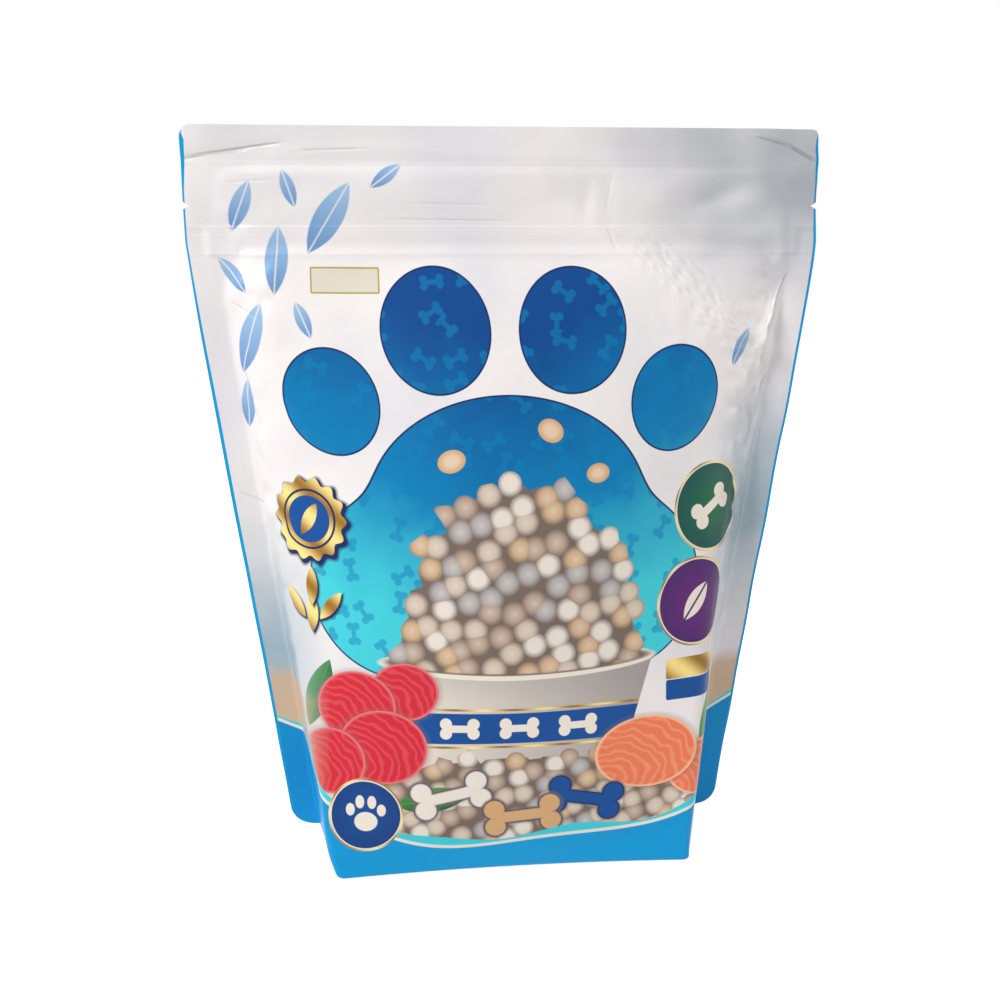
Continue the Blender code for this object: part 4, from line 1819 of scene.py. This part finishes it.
@dataclass
class Studio:
    """A white floor and room, soft lamps, and the camera where the photograph was taken from."""

    azimuth: float = -6.06
    elevation: float = 14.62
    roll: float = 0.14
    distance: float = 0.5389
    target: tuple[float, float, float] = (-0.00375, 0.0, 0.1617)
    sensor: float = 36.0
    lens: float = 43.207
    room_light: float = 0.33
    floor_size: float = 6.0
    floor_drop: float = 0.0003
    floor_tone: Colour = (0.8, 0.8, 0.8)
    shown_floor_tone: Colour = (0.5, 0.5, 0.5)
    floor_glow: float = 0.86
    lamps: tuple[Lamp, ...] = (
        Lamp("key", (-1.6, -1.15, 2.0), 0.7, 58.0),
        Lamp("fill", (1.3, -0.3, 0.3), 0.6, 2.4, (0.97, 0.98, 1.0)),
        Lamp("rear", (0.5, 1.3, 0.9), 0.9, 9.0),
    )

    def build(self) -> None:
        """Make the camera, the lamps, the room and the floor."""
        bpy.context.scene.view_settings.view_transform = "Standard"
        self.build_camera()
        for lamp in self.lamps:
            lamp.build()
        self.build_room()
        self.build_floor()

    def build_camera(self) -> None:
        """Aim the camera."""
        angles = (self.azimuth, self.elevation, self.roll)
        azimuth, elevation, roll = (math.radians(angle) for angle in angles)
        level = math.cos(elevation)
        back = Vector((math.sin(azimuth) * level, -math.cos(azimuth) * level, math.sin(elevation)))
        right = (-back).cross(Vector((0, 0, 1))).normalized()
        up = right.cross(-back)
        turned_right = right * math.cos(roll) + up * math.sin(roll)
        turned_up = up * math.cos(roll) - right * math.sin(roll)
        data = bpy.data.cameras.new("camera")
        data.sensor_width = self.sensor
        data.lens = self.lens
        data.clip_start = 0.01
        camera = bpy.data.objects.new("camera", data)
        camera.matrix_world = Matrix((turned_right, turned_up, back)).transposed().to_4x4()
        camera.location = Vector(self.target) + back * self.distance
        bpy.context.scene.collection.objects.link(camera)
        bpy.context.scene.camera = camera

    def seen_directly(self, nodes: Nodes) -> Number:
        """What the camera sees, also in gloss and through clear things.

        Args:
            nodes: The nodes of the room or the floor.

        Returns:
            1 there, and 0 for the light that falls on the pouch.
        """
        path = nodes.add("ShaderNodeLightPath")
        kinds = ("Is Camera Ray", "Is Glossy Ray", "Is Transmission Ray")
        camera, glossy, through = (Number(nodes, path.outputs[kind]) for kind in kinds)
        return camera.or_more(glossy).or_more(through)

    def build_room(self) -> None:
        """Light from all round, in a room that looks white."""
        world = bpy.data.worlds.new("room")
        world.use_nodes = True
        nodes = Nodes(world.node_tree)
        strength = self.seen_directly(nodes) * (1 - self.room_light) + self.room_light
        background = nodes.add("ShaderNodeBackground", None, {"Color": (1.0, 1.0, 1.0), "Strength": strength})
        nodes.add("ShaderNodeOutputWorld", None, {"Surface": background.outputs[0]})
        bpy.context.scene.world = world

    def build_floor(self) -> None:
        """A plain white floor that keeps the pouch's shadow."""
        bm = bmesh.new()
        bmesh.ops.create_grid(bm, x_segments=4, y_segments=4, size=self.floor_size / 2)
        bmesh.ops.translate(bm, verts=bm.verts, vec=(0, 0, -self.floor_drop))
        mesh = bpy.data.meshes.new("floor")
        bm.to_mesh(mesh)
        bm.free()
        material = bpy.data.materials.new("white_floor")
        material.use_nodes = True
        nodes = Nodes(material.node_tree)
        plain = nodes.add("ShaderNodeBsdfDiffuse", None, {"Color": self.floor_tone})
        pale = nodes.add("ShaderNodeBsdfDiffuse", None, {"Color": self.shown_floor_tone})
        glow = nodes.add("ShaderNodeEmission", None, {"Color": (1.0, 1.0, 1.0), "Strength": self.floor_glow})
        shown = nodes.add("ShaderNodeAddShader", None, {0: pale.outputs[0], 1: glow.outputs[0]})
        inputs = {0: self.seen_directly(nodes), 1: plain.outputs[0], 2: shown.outputs[0]}
        mixed = nodes.add("ShaderNodeMixShader", None, inputs)
        nodes.add("ShaderNodeOutputMaterial", None, {"Surface": mixed.outputs[0]})
        mesh.materials.append(material)
        floor = bpy.data.objects.new("floor", mesh)
        bpy.context.scene.collection.objects.link(floor)


def main() -> None:
    """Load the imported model, make the three films of the pouch, and light them."""
    logging.basicConfig(level=logging.INFO, format="%(name)s: %(message)s")
    for item in list(bpy.data.objects):
        bpy.data.objects.remove(item)
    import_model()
    low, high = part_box("pouch")
    form = PouchForm(half_width=(high.x - low.x) / 2, height=high.z)
    Studio().build()

    inside = FilmFinish("film_inside", InsidePrint, roughness=0.3).material()
    front_finish = FilmFinish("film_front", FrontPrint, creases=FRONT_CREASES)
    back_film = FilmFinish("film_back", BackPrint).material()
    gusset_film = FilmFinish("film_gusset", GussetPrint).material()

    front = Sheet(form, Face.FRONT, FRONT_FEATURES, LEFT_OVERHANG, RIGHT_OVERHANG)
    back = Sheet(form, Face.BACK, BACK_FEATURES, (), (), wave_seed=BACK_WAVE_SEED)
    pieces = (
        front.build(tuple(front_finish.material(zone) for zone in Zone), inside),
        back.build((back_film,), inside),
        GussetFilm(form).build(front, gusset_film, inside),
    )
    for piece in pieces:
        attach(piece, "root")
        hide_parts("pouch")
        LOG.info("%s: %d faces", piece.name, len(piece.data.polygons))


if __name__ == "__main__":
    main()
